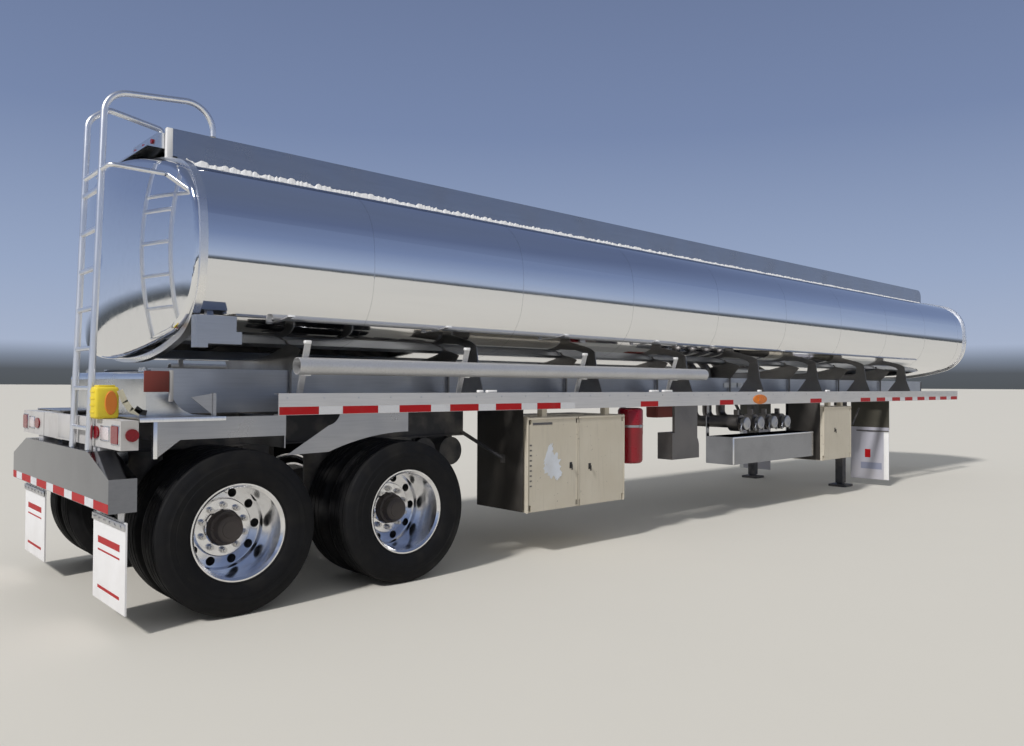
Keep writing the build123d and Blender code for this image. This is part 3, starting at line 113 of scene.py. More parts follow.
class TrailerColours(bpy.types.PropertyGroup):
    """Main colours"""

    aluminium: FloatVectorProperty(
        name="Aluminium", description="Polished tank", subtype="COLOR", size=3, default=(0.86, 0.87, 0.89)
    )
    cabinet: FloatVectorProperty(
        name="Cabinets", description="Dusty beige paint", subtype="COLOR", size=3, default=(0.56, 0.51, 0.42)
    )
    tape_red: FloatVectorProperty(
        name="Red tape", description="Red blocks", subtype="COLOR", size=3, default=(0.44, 0.006, 0.010)
    )
    floor: FloatVectorProperty(
        name="Floor", description="Plain pale floor", subtype="COLOR", size=3, default=(0.70, 0.675, 0.62)
    )


# Node trees


def add_node(tree, kind, sockets, **settings):
    """Adds a shader node, sets or links each of its named inputs, and gives its outputs."""
    node = tree.nodes.new("ShaderNode" + kind)
    for name, value in settings.items():
        setattr(node, name, value)
    for name, value in sockets.items():
        if isinstance(value, bpy.types.NodeSocket):
            tree.links.new(value, node.inputs[name])
        else:
            node.inputs[name].default_value = value
    return node.outputs


class Finish:
    """A material under construction, with the few node recipes that the finishes share."""

    def __init__(self, name, colour, metallic=0.0, roughness=0.5):
        self.material = bpy.data.materials.new(name)
        self.material.use_nodes = True
        self.tree = self.material.node_tree
        self.shader = self.tree.nodes["Principled BSDF"]
        self.set({"Base Color": (*colour, 1.0), "Metallic": metallic, "Roughness": roughness})
        self.place = self.node("TexCoord", {})["Object"]
        self.relief = None

    def set(self, values):
        for name, value in values.items():
            self.shader.inputs[name].default_value = value

    def node(self, kind, sockets, **settings):
        return add_node(self.tree, kind, sockets, **settings)

    def mapped(self, stretch):
        return self.node("Mapping", {"Scale": stretch, "Vector": self.place})["Vector"]

    def noise(self, scale, detail=4.0, stretch=(1.0, 1.0, 1.0)):
        sockets = {"Scale": scale, "Detail": detail, "Vector": self.mapped(stretch)}
        return self.node("TexNoise", sockets)["Fac"]

    def cells(self, scale):
        return self.node("TexVoronoi", {"Scale": scale, "Vector": self.mapped((1.0, 1.0, 1.0))})["Distance"]

    def spread(self, value, low, high, to_low=0.0, to_high=1.0):
        """The value's range from low to high, drawn out or squeezed to another."""
        limits = {"From Min": low, "From Max": high, "To Min": to_low, "To Max": to_high}
        return self.node("MapRange", {"Value": value, **limits})["Result"]

    def tint(self, value, low, high, amount, colour):
        """Lays an amount of a second colour over the first where the value is high."""
        base = self.shader.inputs["Base Color"]
        first = base.links[0].from_socket if base.is_linked else tuple(base.default_value)
        mask = self.spread(value, low, high, 0.0, amount)
        mix = self.node("Mix", {"A": first, "B": (*colour, 1.0), "Factor": mask}, data_type="RGBA")
        self.tree.links.new(mix["Result"], base)

    def rough(self, value, low, high, to_low, to_high):
        self.tree.links.new(self.spread(value, low, high, to_low, to_high), self.shader.inputs["Roughness"])

    def bump(self, value, distance):
        """Adds relief over the relief that is there already."""
        sockets = {"Height": value, "Distance": distance, "Strength": 1.0}
        if self.relief is not None:
            sockets["Normal"] = self.relief
        self.relief = self.node("Bump", sockets)["Normal"]
        self.tree.links.new(self.relief, self.shader.inputs["Normal"])


# Finishes


def mirror_aluminium(name, colour):
    """Polished sheet: a clear mirror with slow waves and faint polishing streaks."""
    finish = Finish(name, colour, 1.0)
    streaks = finish.noise(3.0, 5.0, (0.35, 6.0, 6.0))
    finish.tint(streaks, 0.45, 0.75, 0.2, (0.76, 0.77, 0.79))
    finish.rough(streaks, 0.35, 0.7, 0.035, 0.085)
    finish.bump(finish.noise(0.9, 1.0, (0.5, 1.0, 1.0)), 0.0030)
    finish.bump(finish.noise(9.0, 2.0), 0.00008)
    return finish.material


def satin_aluminium(name, colour, roughness=(0.24, 0.5), grain=(0.4, 14.0, 14.0), stain=0.25, metallic=1.0):
    """Mill or brushed aluminium, grained along its length, with dull stains."""
    finish = Finish(name, colour, metallic)
    stains = finish.noise(2.6, 6.0)
    dull = tuple(c * 0.62 for c in colour)
    finish.tint(stains, 0.46, 0.74, stain, dull)
    finish.tint(finish.noise(14.0, 5.0, grain), 0.4, 0.8, 0.3, dull)
    finish.rough(stains, 0.3, 0.7, *roughness)
    finish.bump(finish.noise(20.0, 2.0, grain), 0.00002)
    finish.bump(finish.noise(1.7, 1.0), 0.0009)
    return finish.material


def painted_steel(name, colour, dust=(0.35, 0.32, 0.28), amount=0.5, roughness=(0.45, 0.8)):
    """Paint with orange peel, road dust in patches and duller where the dust lies."""
    finish = Finish(name, colour)
    patches = finish.noise(4.5, 7.0)
    finish.tint(patches, 0.45, 0.75, amount, dust)
    finish.rough(patches, 0.35, 0.7, *roughness)
    finish.bump(finish.noise(160.0, 2.0), 0.0002)
    return finish.material


def moulded_lens(name, colour):
    """Lamp lens: glossy, with the fine ribs of its optics under the surface."""
    finish = Finish(name, colour, 0.0, 0.2)
    finish.set({"Coat Weight": 0.25, "Coat Roughness": 0.05, "Specular IOR Level": 0.3})
    ribs = finish.cells(150.0)
    finish.tint(ribs, 0.2, 0.7, 0.45, tuple(c * 0.35 for c in colour))
    finish.bump(ribs, 0.0006)
    return finish.material


def flap_sheet(name, colour):
    """Pale flexible sheet, greyed by spray towards its lower edge."""
    finish = Finish(name, colour)
    height = finish.node("SeparateXYZ", {"Vector": finish.place})["Z"]
    low_down, patches = finish.spread(height, 0.75, 0.1), finish.noise(6.0, 6.0)
    spray = finish.node("Math", {0: low_down, 1: patches}, operation="MULTIPLY")["Value"]
    finish.tint(spray, 0.2, 0.7, 0.4, (0.50, 0.47, 0.44))
    finish.bump(finish.noise(7.0, 2.0), 0.004)
    finish.bump(finish.noise(300.0, 1.0), 0.0001)
    return finish.material


def dusty_cabinet(name, colour):
    """Matte beige paint, with dust, dull streaks and small chips."""
    finish = Finish(name, colour)
    dust = finish.noise(3.2, 8.0)
    streaks = finish.noise(5.0, 4.0, (7.0, 7.0, 0.5))
    finish.tint(dust, 0.4, 0.75, 0.5, (0.66, 0.62, 0.54))
    finish.tint(streaks, 0.56, 0.8, 0.4, (0.36, 0.33, 0.28))
    finish.tint(finish.noise(38.0, 3.0), 0.71, 0.74, 0.8, (0.24, 0.22, 0.2))
    finish.rough(dust, 0.3, 0.7, 0.42, 0.72)
    finish.bump(finish.noise(2.2, 1.0), 0.0025)
    finish.bump(finish.noise(220.0, 2.0), 0.0001)
    return finish.material


def tyre_rubber(name):
    """Black rubber with pale dust in the tread and faint rings of scuffing."""
    finish = Finish(name, (0.0065, 0.0065, 0.0075))
    dust = finish.noise(7.0, 8.0)
    finish.tint(dust, 0.5, 0.8, 0.22, (0.06, 0.056, 0.05))
    finish.rough(dust, 0.3, 0.7, 0.6, 0.88)
    finish.bump(finish.noise(130.0, 4.0), 0.0006)
    finish.set({"Specular IOR Level": 0.22})
    return finish.material


def wheel_polish(name):
    """Forged and polished wheel with brake dust and water marks."""
    finish = Finish(name, (0.84, 0.84, 0.85), 1.0)
    marks = finish.noise(16.0, 7.0)
    finish.tint(marks, 0.5, 0.75, 0.3, (0.5, 0.48, 0.45))
    finish.rough(marks, 0.3, 0.7, 0.10, 0.26)
    finish.bump(finish.noise(40.0, 2.0), 0.00006)
    return finish.material


def tape_sheet(name, colour):
    """Reflective tape: small cells under a clear film."""
    finish = Finish(name, colour)
    finish.set({"Coat Weight": 0.06, "Coat Roughness": 0.2, "Specular IOR Level": 0.2})
    cells = finish.cells(220.0)
    finish.tint(cells, 0.25, 0.6, 0.35, tuple(c * 0.72 for c in colour))
    finish.tint(finish.noise(9.0, 5.0), 0.55, 0.8, 0.18, (0.16, 0.12, 0.10))
    finish.bump(cells, 0.0001)
    return finish.material


# Each finish: its recipe, a colour or the name of a main colour, then the recipe's further values
FINISHES = {
    "polished_tank": (mirror_aluminium, "aluminium"),
    "bright_ring": (satin_aluminium, (0.93, 0.93, 0.93), (0.22, 0.40), (8, 8, 8), 0.1),
    "brushed_aluminium": (satin_aluminium, (0.66, 0.66, 0.67)),
    "rail_aluminium": (satin_aluminium, (0.75, 0.725, 0.695), (0.30, 0.46), (0.3, 9, 9), 0.15),
    "overturn_grey": (satin_aluminium, (0.42, 0.43, 0.46), (0.16, 0.3), (0.3, 9, 9), 0.2),
    "beam_grey": (satin_aluminium, (0.46, 0.48, 0.52), (0.28, 0.46), (0.3, 9, 9), 0.3),
    "skirt_grey": (satin_aluminium, (0.44, 0.44, 0.45), (0.22, 0.42), (0.3, 9, 9), 0.3),
    "mill_aluminium": (satin_aluminium, (0.60, 0.60, 0.61), (0.35, 0.55), (6, 6, 6), 0.3, 0.55),
    "ladder_bright": (satin_aluminium, (0.90, 0.91, 0.93), (0.26, 0.42), (9, 9, 0.5), 0.1),
    "polished_trim": (satin_aluminium, (0.76, 0.77, 0.78), (0.12, 0.3), (2, 6, 6), 0.2),
    "bumper_polish": (satin_aluminium, (0.23, 0.24, 0.27), (0.06, 0.16), (2, 6, 6), 0.3),
    # Polished, with its base darkened to 0.30: painted shade standing for the shaded ground that the trough's
    # face reflects
    "trough_painted_shade_polish": (satin_aluminium, (0.30, 0.31, 0.34), (0.05, 0.16), (2, 6, 6), 0.5),
    "shaded_aluminium": (satin_aluminium, (0.34, 0.33, 0.32), (0.3, 0.55), (2, 6, 6), 0.5),
    "grey_steel": (painted_steel, (0.045, 0.045, 0.05)),
    "dark_metal": (satin_aluminium, (0.20, 0.19, 0.185), (0.35, 0.6), (6, 6, 6), 0.5),
    "cap_metal": (satin_aluminium, (0.46, 0.46, 0.47), (0.3, 0.5), (9, 9, 9), 0.5),
    "light_panel": (painted_steel, (0.52, 0.51, 0.51), (0.36, 0.33, 0.3), 0.4, (0.3, 0.6)),
    "red_lens": (moulded_lens, (0.24, 0.002, 0.010)),
    "amber_lens": (moulded_lens, (0.80, 0.20, 0.01)),
    "clear_lens": (moulded_lens, (0.78, 0.70, 0.72)),
    "white_flap": (flap_sheet, (0.80, 0.80, 0.82)),
    "front_flap": (flap_sheet, (0.46, 0.46, 0.53)),
    "flap_block": (painted_steel, (0.26, 0.28, 0.38), (0.3, 0.3, 0.33), 0.5),
    "beige_cabinet": (dusty_cabinet, "cabinet"),
    # Near-black paint with some road dust: painted shade for the cabinets' rear sides
    "cabinet_painted_shade": (painted_steel, (0.030, 0.027, 0.024), (0.09, 0.08, 0.07), 0.4),
    "red_paint": (painted_steel, (0.25, 0.003, 0.013), (0.16, 0.03, 0.03), 0.25, (0.2, 0.42)),
    "plate_red": (painted_steel, (0.20, 0.030, 0.020), (0.12, 0.05, 0.04), 0.5, (0.5, 0.7)),
    "housing_yellow": (painted_steel, (0.80, 0.62, 0.03), (0.3, 0.24, 0.06), 0.4),
    "housing_orange": (painted_steel, (0.66, 0.19, 0.02), (0.4, 0.16, 0.05), 0.3),
    "strap_cream": (painted_steel, (0.74, 0.69, 0.52), (0.3, 0.27, 0.2), 0.4),
    "strap_black": (painted_steel, (0.02, 0.02, 0.02), (0.1, 0.09, 0.08), 0.4),
    "label_white": (painted_steel, (0.68, 0.72, 0.80), (0.45, 0.45, 0.45), 0.6, (0.5, 0.7)),
    "tyre_rubber": (tyre_rubber,),
    "polished_wheel": (wheel_polish,),
    "hub_brown": (painted_steel, (0.050, 0.040, 0.036), (0.12, 0.10, 0.09), 0.5, (0.4, 0.7)),
    "nut_steel": (satin_aluminium, (0.62, 0.61, 0.60), (0.16, 0.34), (30, 30, 30), 0.4),
    "tape_red": (tape_sheet, "tape_red"),
    "tape_white": (tape_sheet, (0.70, 0.71, 0.75)),
    "seal_white": (painted_steel, (0.88, 0.88, 0.89), (0.55, 0.55, 0.57), 0.3),
    "weld_bead": (satin_aluminium, (0.80, 0.81, 0.83), (0.10, 0.2), (30, 30, 30), 0.1),
    # Near-black olive with road dust in patches: painted shade in place of the splash panels' aluminium
    "splash_painted_shade": (painted_steel, (0.055, 0.052, 0.040), (0.14, 0.13, 0.1), 0.5),
}
MADE = {}


def finish_for(name):
    """The one material of a finish, made when it is first asked for."""
    if name not in MADE:
        recipe, *values = FINISHES[name]
        if values and isinstance(values[0], str):
            values[0] = tuple(getattr(bpy.context.scene.trailer_colours, values[0]))
        MADE[name] = recipe(name, *values)
    return MADE[name]


# Shapes


def add_box(bm, x, y, z, bevel=0.0, segments=2):
    """Box between two limits on each axis, with its edges rounded if a bevel is given."""
    centre = Vector(((x[0] + x[1]) / 2, (y[0] + y[1]) / 2, (z[0] + z[1]) / 2))
    size = (abs(x[1] - x[0]), abs(y[1] - y[0]), abs(z[1] - z[0]), 1.0)
    matrix = Matrix.Translation(centre) @ Matrix.Diagonal(size)
    verts = bmesh.ops.create_cube(bm, size=1.0, matrix=matrix)["verts"]
    if bevel:
        edges = list({edge for vert in verts for edge in vert.link_edges})
        bmesh.ops.bevel(
            bm, geom=edges, offset=bevel, offset_type="OFFSET", segments=segments, profile=0.5,
            affect="EDGES", material=-1, clamp_overlap=True,
        )


def add_cone(bm, matrix, low_radius, high_radius, depth, segments):
    """Closed cone about the matrix's own Z axis."""
    bmesh.ops.create_cone(
        bm, cap_ends=True, segments=segments, radius1=low_radius, radius2=high_radius, depth=depth,
        matrix=matrix,
    )


def aimed(place, axis):
    """Matrix that moves a shape to a place and turns its Z along an axis."""
    return Matrix.Translation(place) @ Vector((0, 0, 1)).rotation_difference(axis).to_matrix().to_4x4()


def add_rod(bm, start, end, radius, segments=12):
    """Round bar from one point to another."""
    start, end = Vector(start), Vector(end)
    axis = end - start
    add_cone(bm, aimed((start + end) / 2, axis), radius, radius, axis.length, segments)


def carry(bm, edges, matrix):
    """Extrudes a ring of edges, moves the new ring by a matrix and gives its edges."""
    made = bmesh.ops.extrude_edge_only(bm, edges=edges)["geom"]
    verts = {part for part in made if isinstance(part, bmesh.types.BMVert)}
    bmesh.ops.transform(bm, matrix=matrix, space=Matrix.Identity(4), verts=list(verts))
    return [part for part in made if isinstance(part, bmesh.types.BMEdge) and verts.issuperset(part.verts)]


def add_bent_tube(bm, route, bends, radius):
    """Tube along a route, with an arc of its own radius at every corner."""
    route = [Vector(point) for point in route]
    here = route[0]
    along = (route[1] - here).normalized()
    ring = bmesh.ops.create_circle(bm, segments=20, radius=radius, matrix=aimed(here, along))["verts"]
    edges = list({edge for vert in ring for edge in vert.link_edges})
    bmesh.ops.edgeloop_fill(bm, edges=edges)
    for corner, after, bend in zip(route[1:], route[2:], bends):
        leave = (after - corner).normalized()
        angle = along.angle(leave)
        start = corner - along * (bend * math.tan(angle / 2))
        edges = carry(bm, edges, Matrix.Translation(start - here))
        axis = along.cross(leave).normalized()
        centre = Matrix.Translation(start + axis.cross(along) * bend)
        steps = max(3, round(angle / math.radians(7)))
        step = centre @ Matrix.Rotation(angle / steps, 4, axis) @ centre.inverted()
        for _ in range(steps):
            edges = carry(bm, edges, step)
        here, along = corner + leave * (bend * math.tan(angle / 2)), leave
    edges = carry(bm, edges, Matrix.Translation(route[-1] - here))
    bmesh.ops.edgeloop_fill(bm, edges=edges)


def add_turned(bm, centre, axis, profile, steps):
    """Closed or open profile of (along the axis, radius), turned once round the axis."""
    axis = Vector(axis).normalized()
    out = axis.orthogonal().normalized()
    chain = [bm.verts.new(Vector(centre) + axis * along + out * radius) for along, radius in profile]
    edges = [bm.edges.new(pair) for pair in zip(chain, chain[1:])]
    bmesh.ops.spin(
        bm, geom=chain + edges, cent=centre, axis=axis, dvec=(0, 0, 0), angle=math.tau, steps=steps,
        use_merge=True, use_duplicate=False,
    )


def new_object(name, bm, material):
    """Object of the scene from a bmesh, which is freed."""
    mesh = bpy.data.meshes.new(name)
    bm.to_mesh(mesh)
    bm.free()
    mesh.materials.append(material)
    made = bpy.data.objects.new(name, mesh)
    bpy.context.scene.collection.objects.link(made)
    return made


def finish_piece(name, bm, finish, smooth=None, body="chassis"):
    """Closes a mesh's seams, turns its faces outwards and makes it a piece that rides on a body."""
    bmesh.ops.remove_doubles(bm, verts=bm.verts, dist=0.00001)
    bmesh.ops.recalc_face_normals(bm, faces=bm.faces)
    if not bm.faces:
        raise RuntimeError("nothing was made for " + name)
    piece = new_object(name, bm, finish_for(finish))
    if smooth is not None:
        piece.data.shade_smooth()
        piece.data.set_sharp_from_angle(angle=math.radians(smooth))
    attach(piece, body)
    return piece


def around(count, turn=0.0):
    """Unit directions round the wheel's axis, in the plane of X and Z."""
    for i in range(count):
        angle = math.tau * (i + turn) / count
        yield Vector((math.cos(angle), 0.0, math.sin(angle)))


WHEELS = [axle + "_" + side for axle in ("rear", "front") for side in ("left", "right")]


def wheel_place(wheel):
    """Centre of a wheel pair's hub, and +1 on the left or -1 on the right."""
    low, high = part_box("tyres_" + wheel)
    return (low + high) / 2, (1 if wheel.endswith("left") else -1)


# Operators


class TRAILER_OT_stage(bpy.types.Operator):
    """Pale floor, soft studio light and the camera at the photograph's angle"""

    bl_idname = "trailer.stage"
    bl_label = "Stage"

    def execute(self, context):
        self.floor(context)
        self.light(context)
        self.camera(context)
        context.scene.view_settings.view_transform = "Standard"
        return {"FINISHED"}

    def floor(self, context):
        bm = bmesh.new()
        bmesh.ops.create_circle(bm, cap_ends=True, segments=96, radius=900.0)
        finish = Finish("floor", tuple(context.scene.trailer_colours.floor), 0.0, 0.9)
        finish.tint(finish.noise(1.2, 3.0), 0.3, 0.7, 0.06, (0.6, 0.58, 0.54))
        new_object("floor", bm, finish.material)

    def light(self, context):
        sun = bpy.data.lights.new("key", "SUN")
        sun.energy = 2.5
        sun.angle = math.radians(6)
        sun.color = (1.0, 0.975, 0.94)
        key = bpy.data.objects.new("key", sun)
        key.rotation_euler = Vector((-0.72, -0.16, 0.66)).to_track_quat("Z", "Y").to_euler()
        context.scene.collection.objects.link(key)
        self.sky(context)

    # Backdrop: height above the horizon as the sine of the elevation, colour
    backdrop = (
        (0.000, (0.085, 0.095, 0.105)),
        (0.016, (0.095, 0.106, 0.122)),
        (0.030, (0.200, 0.235, 0.300)),
        (0.046, (0.385, 0.450, 0.590)),
        (0.130, (0.310, 0.385, 0.550)),
        (0.300, (0.185, 0.245, 0.405)),
        (0.600, (0.110, 0.145, 0.255)),
        (1.000, (0.115, 0.145, 0.225)),
    )

    def sky(self, context):
        """Even light for the object, and one banded backdrop for the camera, metal and glass."""
        world = bpy.data.worlds.new("studio")
        context.scene.world = world
        world.use_nodes = True
        tree = world.node_tree
        tree.nodes.clear()
        place = add_node(tree, "TexCoord", {})["Generated"]
        height = add_node(tree, "SeparateXYZ", {"Vector": place})["Z"]
        ramp = tree.nodes.new("ShaderNodeValToRGB")
        stops = ramp.color_ramp.elements
        stops[0].position, stops[1].position = self.backdrop[0][0], self.backdrop[-1][0]
        for position, _ in self.backdrop[1:-1]:
            stops.new(position)
        for stop, (_, colour) in zip(stops, self.backdrop):
            stop.color = (*colour, 1.0)
        tree.links.new(height, ramp.inputs["Fac"])
        paths = add_node(tree, "LightPath", {})
        shown = paths["Is Camera Ray"]
        for name in ("Is Glossy Ray", "Is Transmission Ray"):
            shown = add_node(tree, "Math", {0: shown, 1: paths[name]}, operation="MAXIMUM")["Value"]
        even = add_node(tree, "Background", {"Color": (0.93, 0.96, 1.0, 1.0), "Strength": 0.42})
        bands = add_node(tree, "Background", {"Color": ramp.outputs["Color"], "Strength": 1.0})
        seen = add_node(tree, "MixShader", {"Fac": shown, 1: even["Background"], 2: bands["Background"]})
        add_node(tree, "OutputWorld", {"Surface": seen["Shader"]})

    def camera(self, context):
        """Camera fitted to the photograph: place, heading, pitch, roll and lens."""
        place = Vector((-8.184, -5.913, 1.421))
        heading, pitch, roll = (math.radians(a) for a in (47.343, 0.897, 0.278))
        forward = Vector(
            (math.cos(heading) * math.cos(pitch), math.sin(heading) * math.cos(pitch), math.sin(pitch))
        )
        level = Vector((math.sin(heading), -math.cos(heading), 0.0))
        upright = level.cross(forward)
        right = level * math.cos(roll) + upright * math.sin(roll)
        up = upright * math.cos(roll) - level * math.sin(roll)
        lens = bpy.data.cameras.new("camera")
        lens.lens = 27.93
        lens.sensor_width = 36.0
        lens.sensor_fit = "HORIZONTAL"
        camera = bpy.data.objects.new("camera", lens)
        camera.matrix_world = Matrix.Translation(place) @ Matrix((right, up, -forward)).transposed().to_4x4()
        context.scene.collection.objects.link(camera)
        context.scene.camera = camera


class TRAILER_OT_frame_finishes(bpy.types.Operator):
    """Gives every node of the frame its finish"""

    bl_idname = "trailer.frame_finishes"
    bl_label = "Frame finishes"

    own = {
        # The splash panels get painted shade in place of their aluminium
        "splash_panels": "splash_painted_shade",
        "side_rail_left": "rail_aluminium",
        "side_rail_right": "rail_aluminium",
        "ladder": "ladder_bright",
        "rear_bumper": "bumper_polish",
        "spill_trough": "trough_painted_shade_polish",
        "saddles": "shaded_aluminium",
        "overturn_rail_left": "overturn_grey",
        "overturn_rail_right": "overturn_grey",
        "frame_beams": "beam_grey",
        "document_tube": "beam_grey",
        "arch_plates": "skirt_grey",
        "front_mud_flaps": "front_flap",
        "walkway": "mill_aluminium",
        "manhole_collars": "mill_aluminium",
        "vapour_line": "mill_aluminium",
        "hose_trays": "mill_aluminium",
    }

    def execute(self, context):
        for part in frame["record"]["subparts"]:
            node = NODES[part["node"]]
            material = finish_for(self.own.get(part["node"], part["material_slot"]))
            node.data.materials.clear()
            node.data.materials.append(material)
        return {"FINISHED"}


class TRAILER_OT_tyres(bpy.types.Operator):
    """Twin tyres with grooved treads and ribbed sidewalls"""

    bl_idname = "trailer.tyres"
    bl_label = "Tyres"

    def execute(self, context):
        sizes = context.scene.trailer_sizes
        for wheel in WHEELS:
            low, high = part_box("tyres_" + wheel)
            centre = (low + high) / 2
            radius = (high.z - low.z) / 2
            bm = bmesh.new()
            for y in (low.y + sizes.tyre_width / 2, high.y - sizes.tyre_width / 2):
                profile = self.section(sizes, radius)
                add_turned(bm, (centre.x, y, centre.z), (0, 1, 0), profile, 112)
            body = "wheel_" + wheel
            pair = finish_piece("tyre_pair_" + wheel, bm, "tyre_rubber", 40, body=body)
            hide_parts("tyres_" + wheel)
        return {"FINISHED"}

    def section(self, sizes, radius):
        """Closed section of one tyre: distance across, distance from the axle."""
        half = sizes.tyre_width / 2
        wall = (
            (0.0980, 0.2863), (0.1025, 0.3006), (0.1160, 0.3014), (0.1215, 0.3080), (0.1205, 0.3140),
            (0.1290, 0.3260), (0.1360, 0.3480), (half, 0.3760), (half, 0.3900), (half - 0.0020, 0.3915),
            (half - 0.0015, 0.4260), (half - 0.0030, 0.4275), (half - 0.0060, radius - 0.0620),
            (half - 0.0100, radius - 0.0400), (half - 0.0110, radius - 0.0385),
            (half - 0.0190, radius - 0.0150), (half - 0.0240, radius - 0.0075),
            (half - 0.0340, radius - 0.0040),
        )
        crown = []
        for middle in (0.076, 0.026):
            crown += [
                (middle + sizes.groove_width / 2, radius - 0.002 * (middle > 0.05)),
                (middle + sizes.groove_width / 4, radius - sizes.groove_depth),
                (middle - sizes.groove_width / 4, radius - sizes.groove_depth),
                (middle - sizes.groove_width / 2, radius),
            ]
        half_section = list(wall) + crown
        other = [(-across, reach) for across, reach in reversed(half_section)]
        return half_section + other + [half_section[0]]


class TRAILER_OT_wheel_fittings(bpy.types.Operator):
    """Wheel nuts, valve stems, hub caps and the dark rings of painted shadow inside the wheels"""

    bl_idname = "trailer.wheel_fittings"
    bl_label = "Wheel fittings"

    def execute(self, context):
        for wheel in WHEELS:
            self.nuts(wheel, context.scene.trailer_sizes)
            # dust() makes the ring of painted shadow behind the hand holes, not dust
            self.dust(wheel)
            self.cap(wheel)
        return {"FINISHED"}

    face = 0.0302
    # Washer, nut and stud end: start and end outwards from that face, radius, sides
    nut = ((0.0, 0.006, 0.0215, 18), (0.005, 0.030, 0.0185, 6), (0.029, 0.041, 0.0105, 10))

    def nuts(self, wheel, sizes):
        centre, out = wheel_place(wheel)
        axis = Vector((0, out, 0))
        bm = bmesh.new()
        for ray in around(sizes.nut_count, 0.5):
            foot = centre + ray * sizes.nut_circle + axis * self.face
            for start, end, radius, sides in self.nut:
                add_rod(bm, foot + axis * start, foot + axis * end, radius, sides)
        stem = centre + Vector((0.0, out * -0.004, 0.232))
        add_rod(bm, stem, stem + Vector((0, out * 0.09, -0.012)), 0.0045, 8)
        finish_piece("wheel_nuts_" + wheel, bm, "nut_steel", 30, body="wheel_" + wheel)

    def dust(self, wheel):
        """Flat dark ring of painted shadow in the depth of the outer wheel, behind its hand holes."""
        centre, out = wheel_place(wheel)
        back, front, inner, outer = -0.0880, -0.0850, 0.165, 0.262
        ring = ((back, inner), (back, outer), (front, outer), (front, inner), (back, inner))
        bm = bmesh.new()
        add_turned(bm, centre, (0, out, 0), ring, 64)
        finish_piece("hand_hole_shadow_" + wheel, bm, "strap_black", body="wheel_" + wheel)

    def cap(self, wheel):
        """Painted hub and axle flange, turned just outside the wheel's own hub."""
        centre, out = wheel_place(wheel)
        profile = (
            (0.0365, 0.1110), (0.0385, 0.1125), (0.0700, 0.1040), (0.0780, 0.1015), (0.0800, 0.1045),
            (0.0880, 0.1045), (0.0915, 0.0970), (0.0950, 0.0905), (0.1440, 0.0815), (0.1530, 0.0690),
            (0.1545, 0.0560), (0.1580, 0.0540), (0.1600, 0.0300), (0.1610, 0.0000),
        )
        bm = bmesh.new()
        add_turned(bm, centre, (0, out, 0), profile, 48)
        for ray in around(8):
            foot = centre + ray * 0.0935 + Vector((0, out * 0.086, 0))
            add_rod(bm, foot, foot + Vector((0, out * 0.014, 0)), 0.0075, 6)
        finish_piece("hub_cap_" + wheel, bm, "hub_brown", 35, body="wheel_" + wheel)


class TRAILER_OT_tape(bpy.types.Operator):
    """Red and white tape along the side rails and the bumper"""

    bl_idname = "trailer.tape"
    bl_label = "Reflective tape"

    # Red blocks of a rail: station and length of the lone ones, then the even run at the front
    lone_reds = ((3.89, 0.27), (5.23, 0.26), (7.22, 0.29), (8.63, 0.30))
    front_starts = (9.14, 9.66, 10.12, 10.59, 11.05, 11.52, 11.99)
    front_length = 0.28
    rear_start = 0.236
    rear_periods = 6
    joint = 0.001

    def execute(self, context):
        sizes = context.scene.trailer_sizes
        red, white = bmesh.new(), bmesh.new()
        period = sizes.tape_red + sizes.tape_white
        reds, whites = list(self.lone_reds), []
        reds += [(start, self.front_length) for start in self.front_starts]
        for i in range(self.rear_periods):
            start = self.rear_start + i * period
            reds.append((start, sizes.tape_red))
            whites.append((start + sizes.tape_red, sizes.tape_white))
        for start, following in zip(self.front_starts, self.front_starts[1:]):
            whites.append((start + self.front_length, following - start - self.front_length))
        for blocks, bm in ((reds, red), (whites, white)):
            for start, length in blocks:
                self.side_block(bm, station(start), length, sizes)
        self.bumper_run(red, white, sizes)
        finish_piece("tape_red", red, "tape_red")
        finish_piece("tape_white", white, "tape_white")
        return {"FINISHED"}

    def side_block(self, bm, start, length, sizes):
        x = (start, start + length - self.joint)
        z = RAIL_LOW.z + 0.002
        for side in (-1, 1):
            y = (side * RAIL_OUTER, side * (RAIL_OUTER + sizes.tape_thickness))
            add_box(bm, x, y, (z, z + sizes.tape_height))

    def bumper_run(self, red, white, sizes):
        """Along the lower edge of the bumper, starting with red at the right."""
        x, z = (BUMPER_LOW.x - sizes.tape_thickness, BUMPER_LOW.x), BUMPER_LOW.z + 0.003
        y, end, turn = BUMPER_LOW.y, BUMPER_HIGH.y, 0
        while y < end - 0.01:
            length = sizes.tape_white if turn % 2 else sizes.tape_red
            stop = min(y + length, end)
            block = white if turn % 2 else red
            add_box(block, x, (y, stop - self.joint), (z, z + sizes.tape_height))
            y, turn = stop, turn + 1


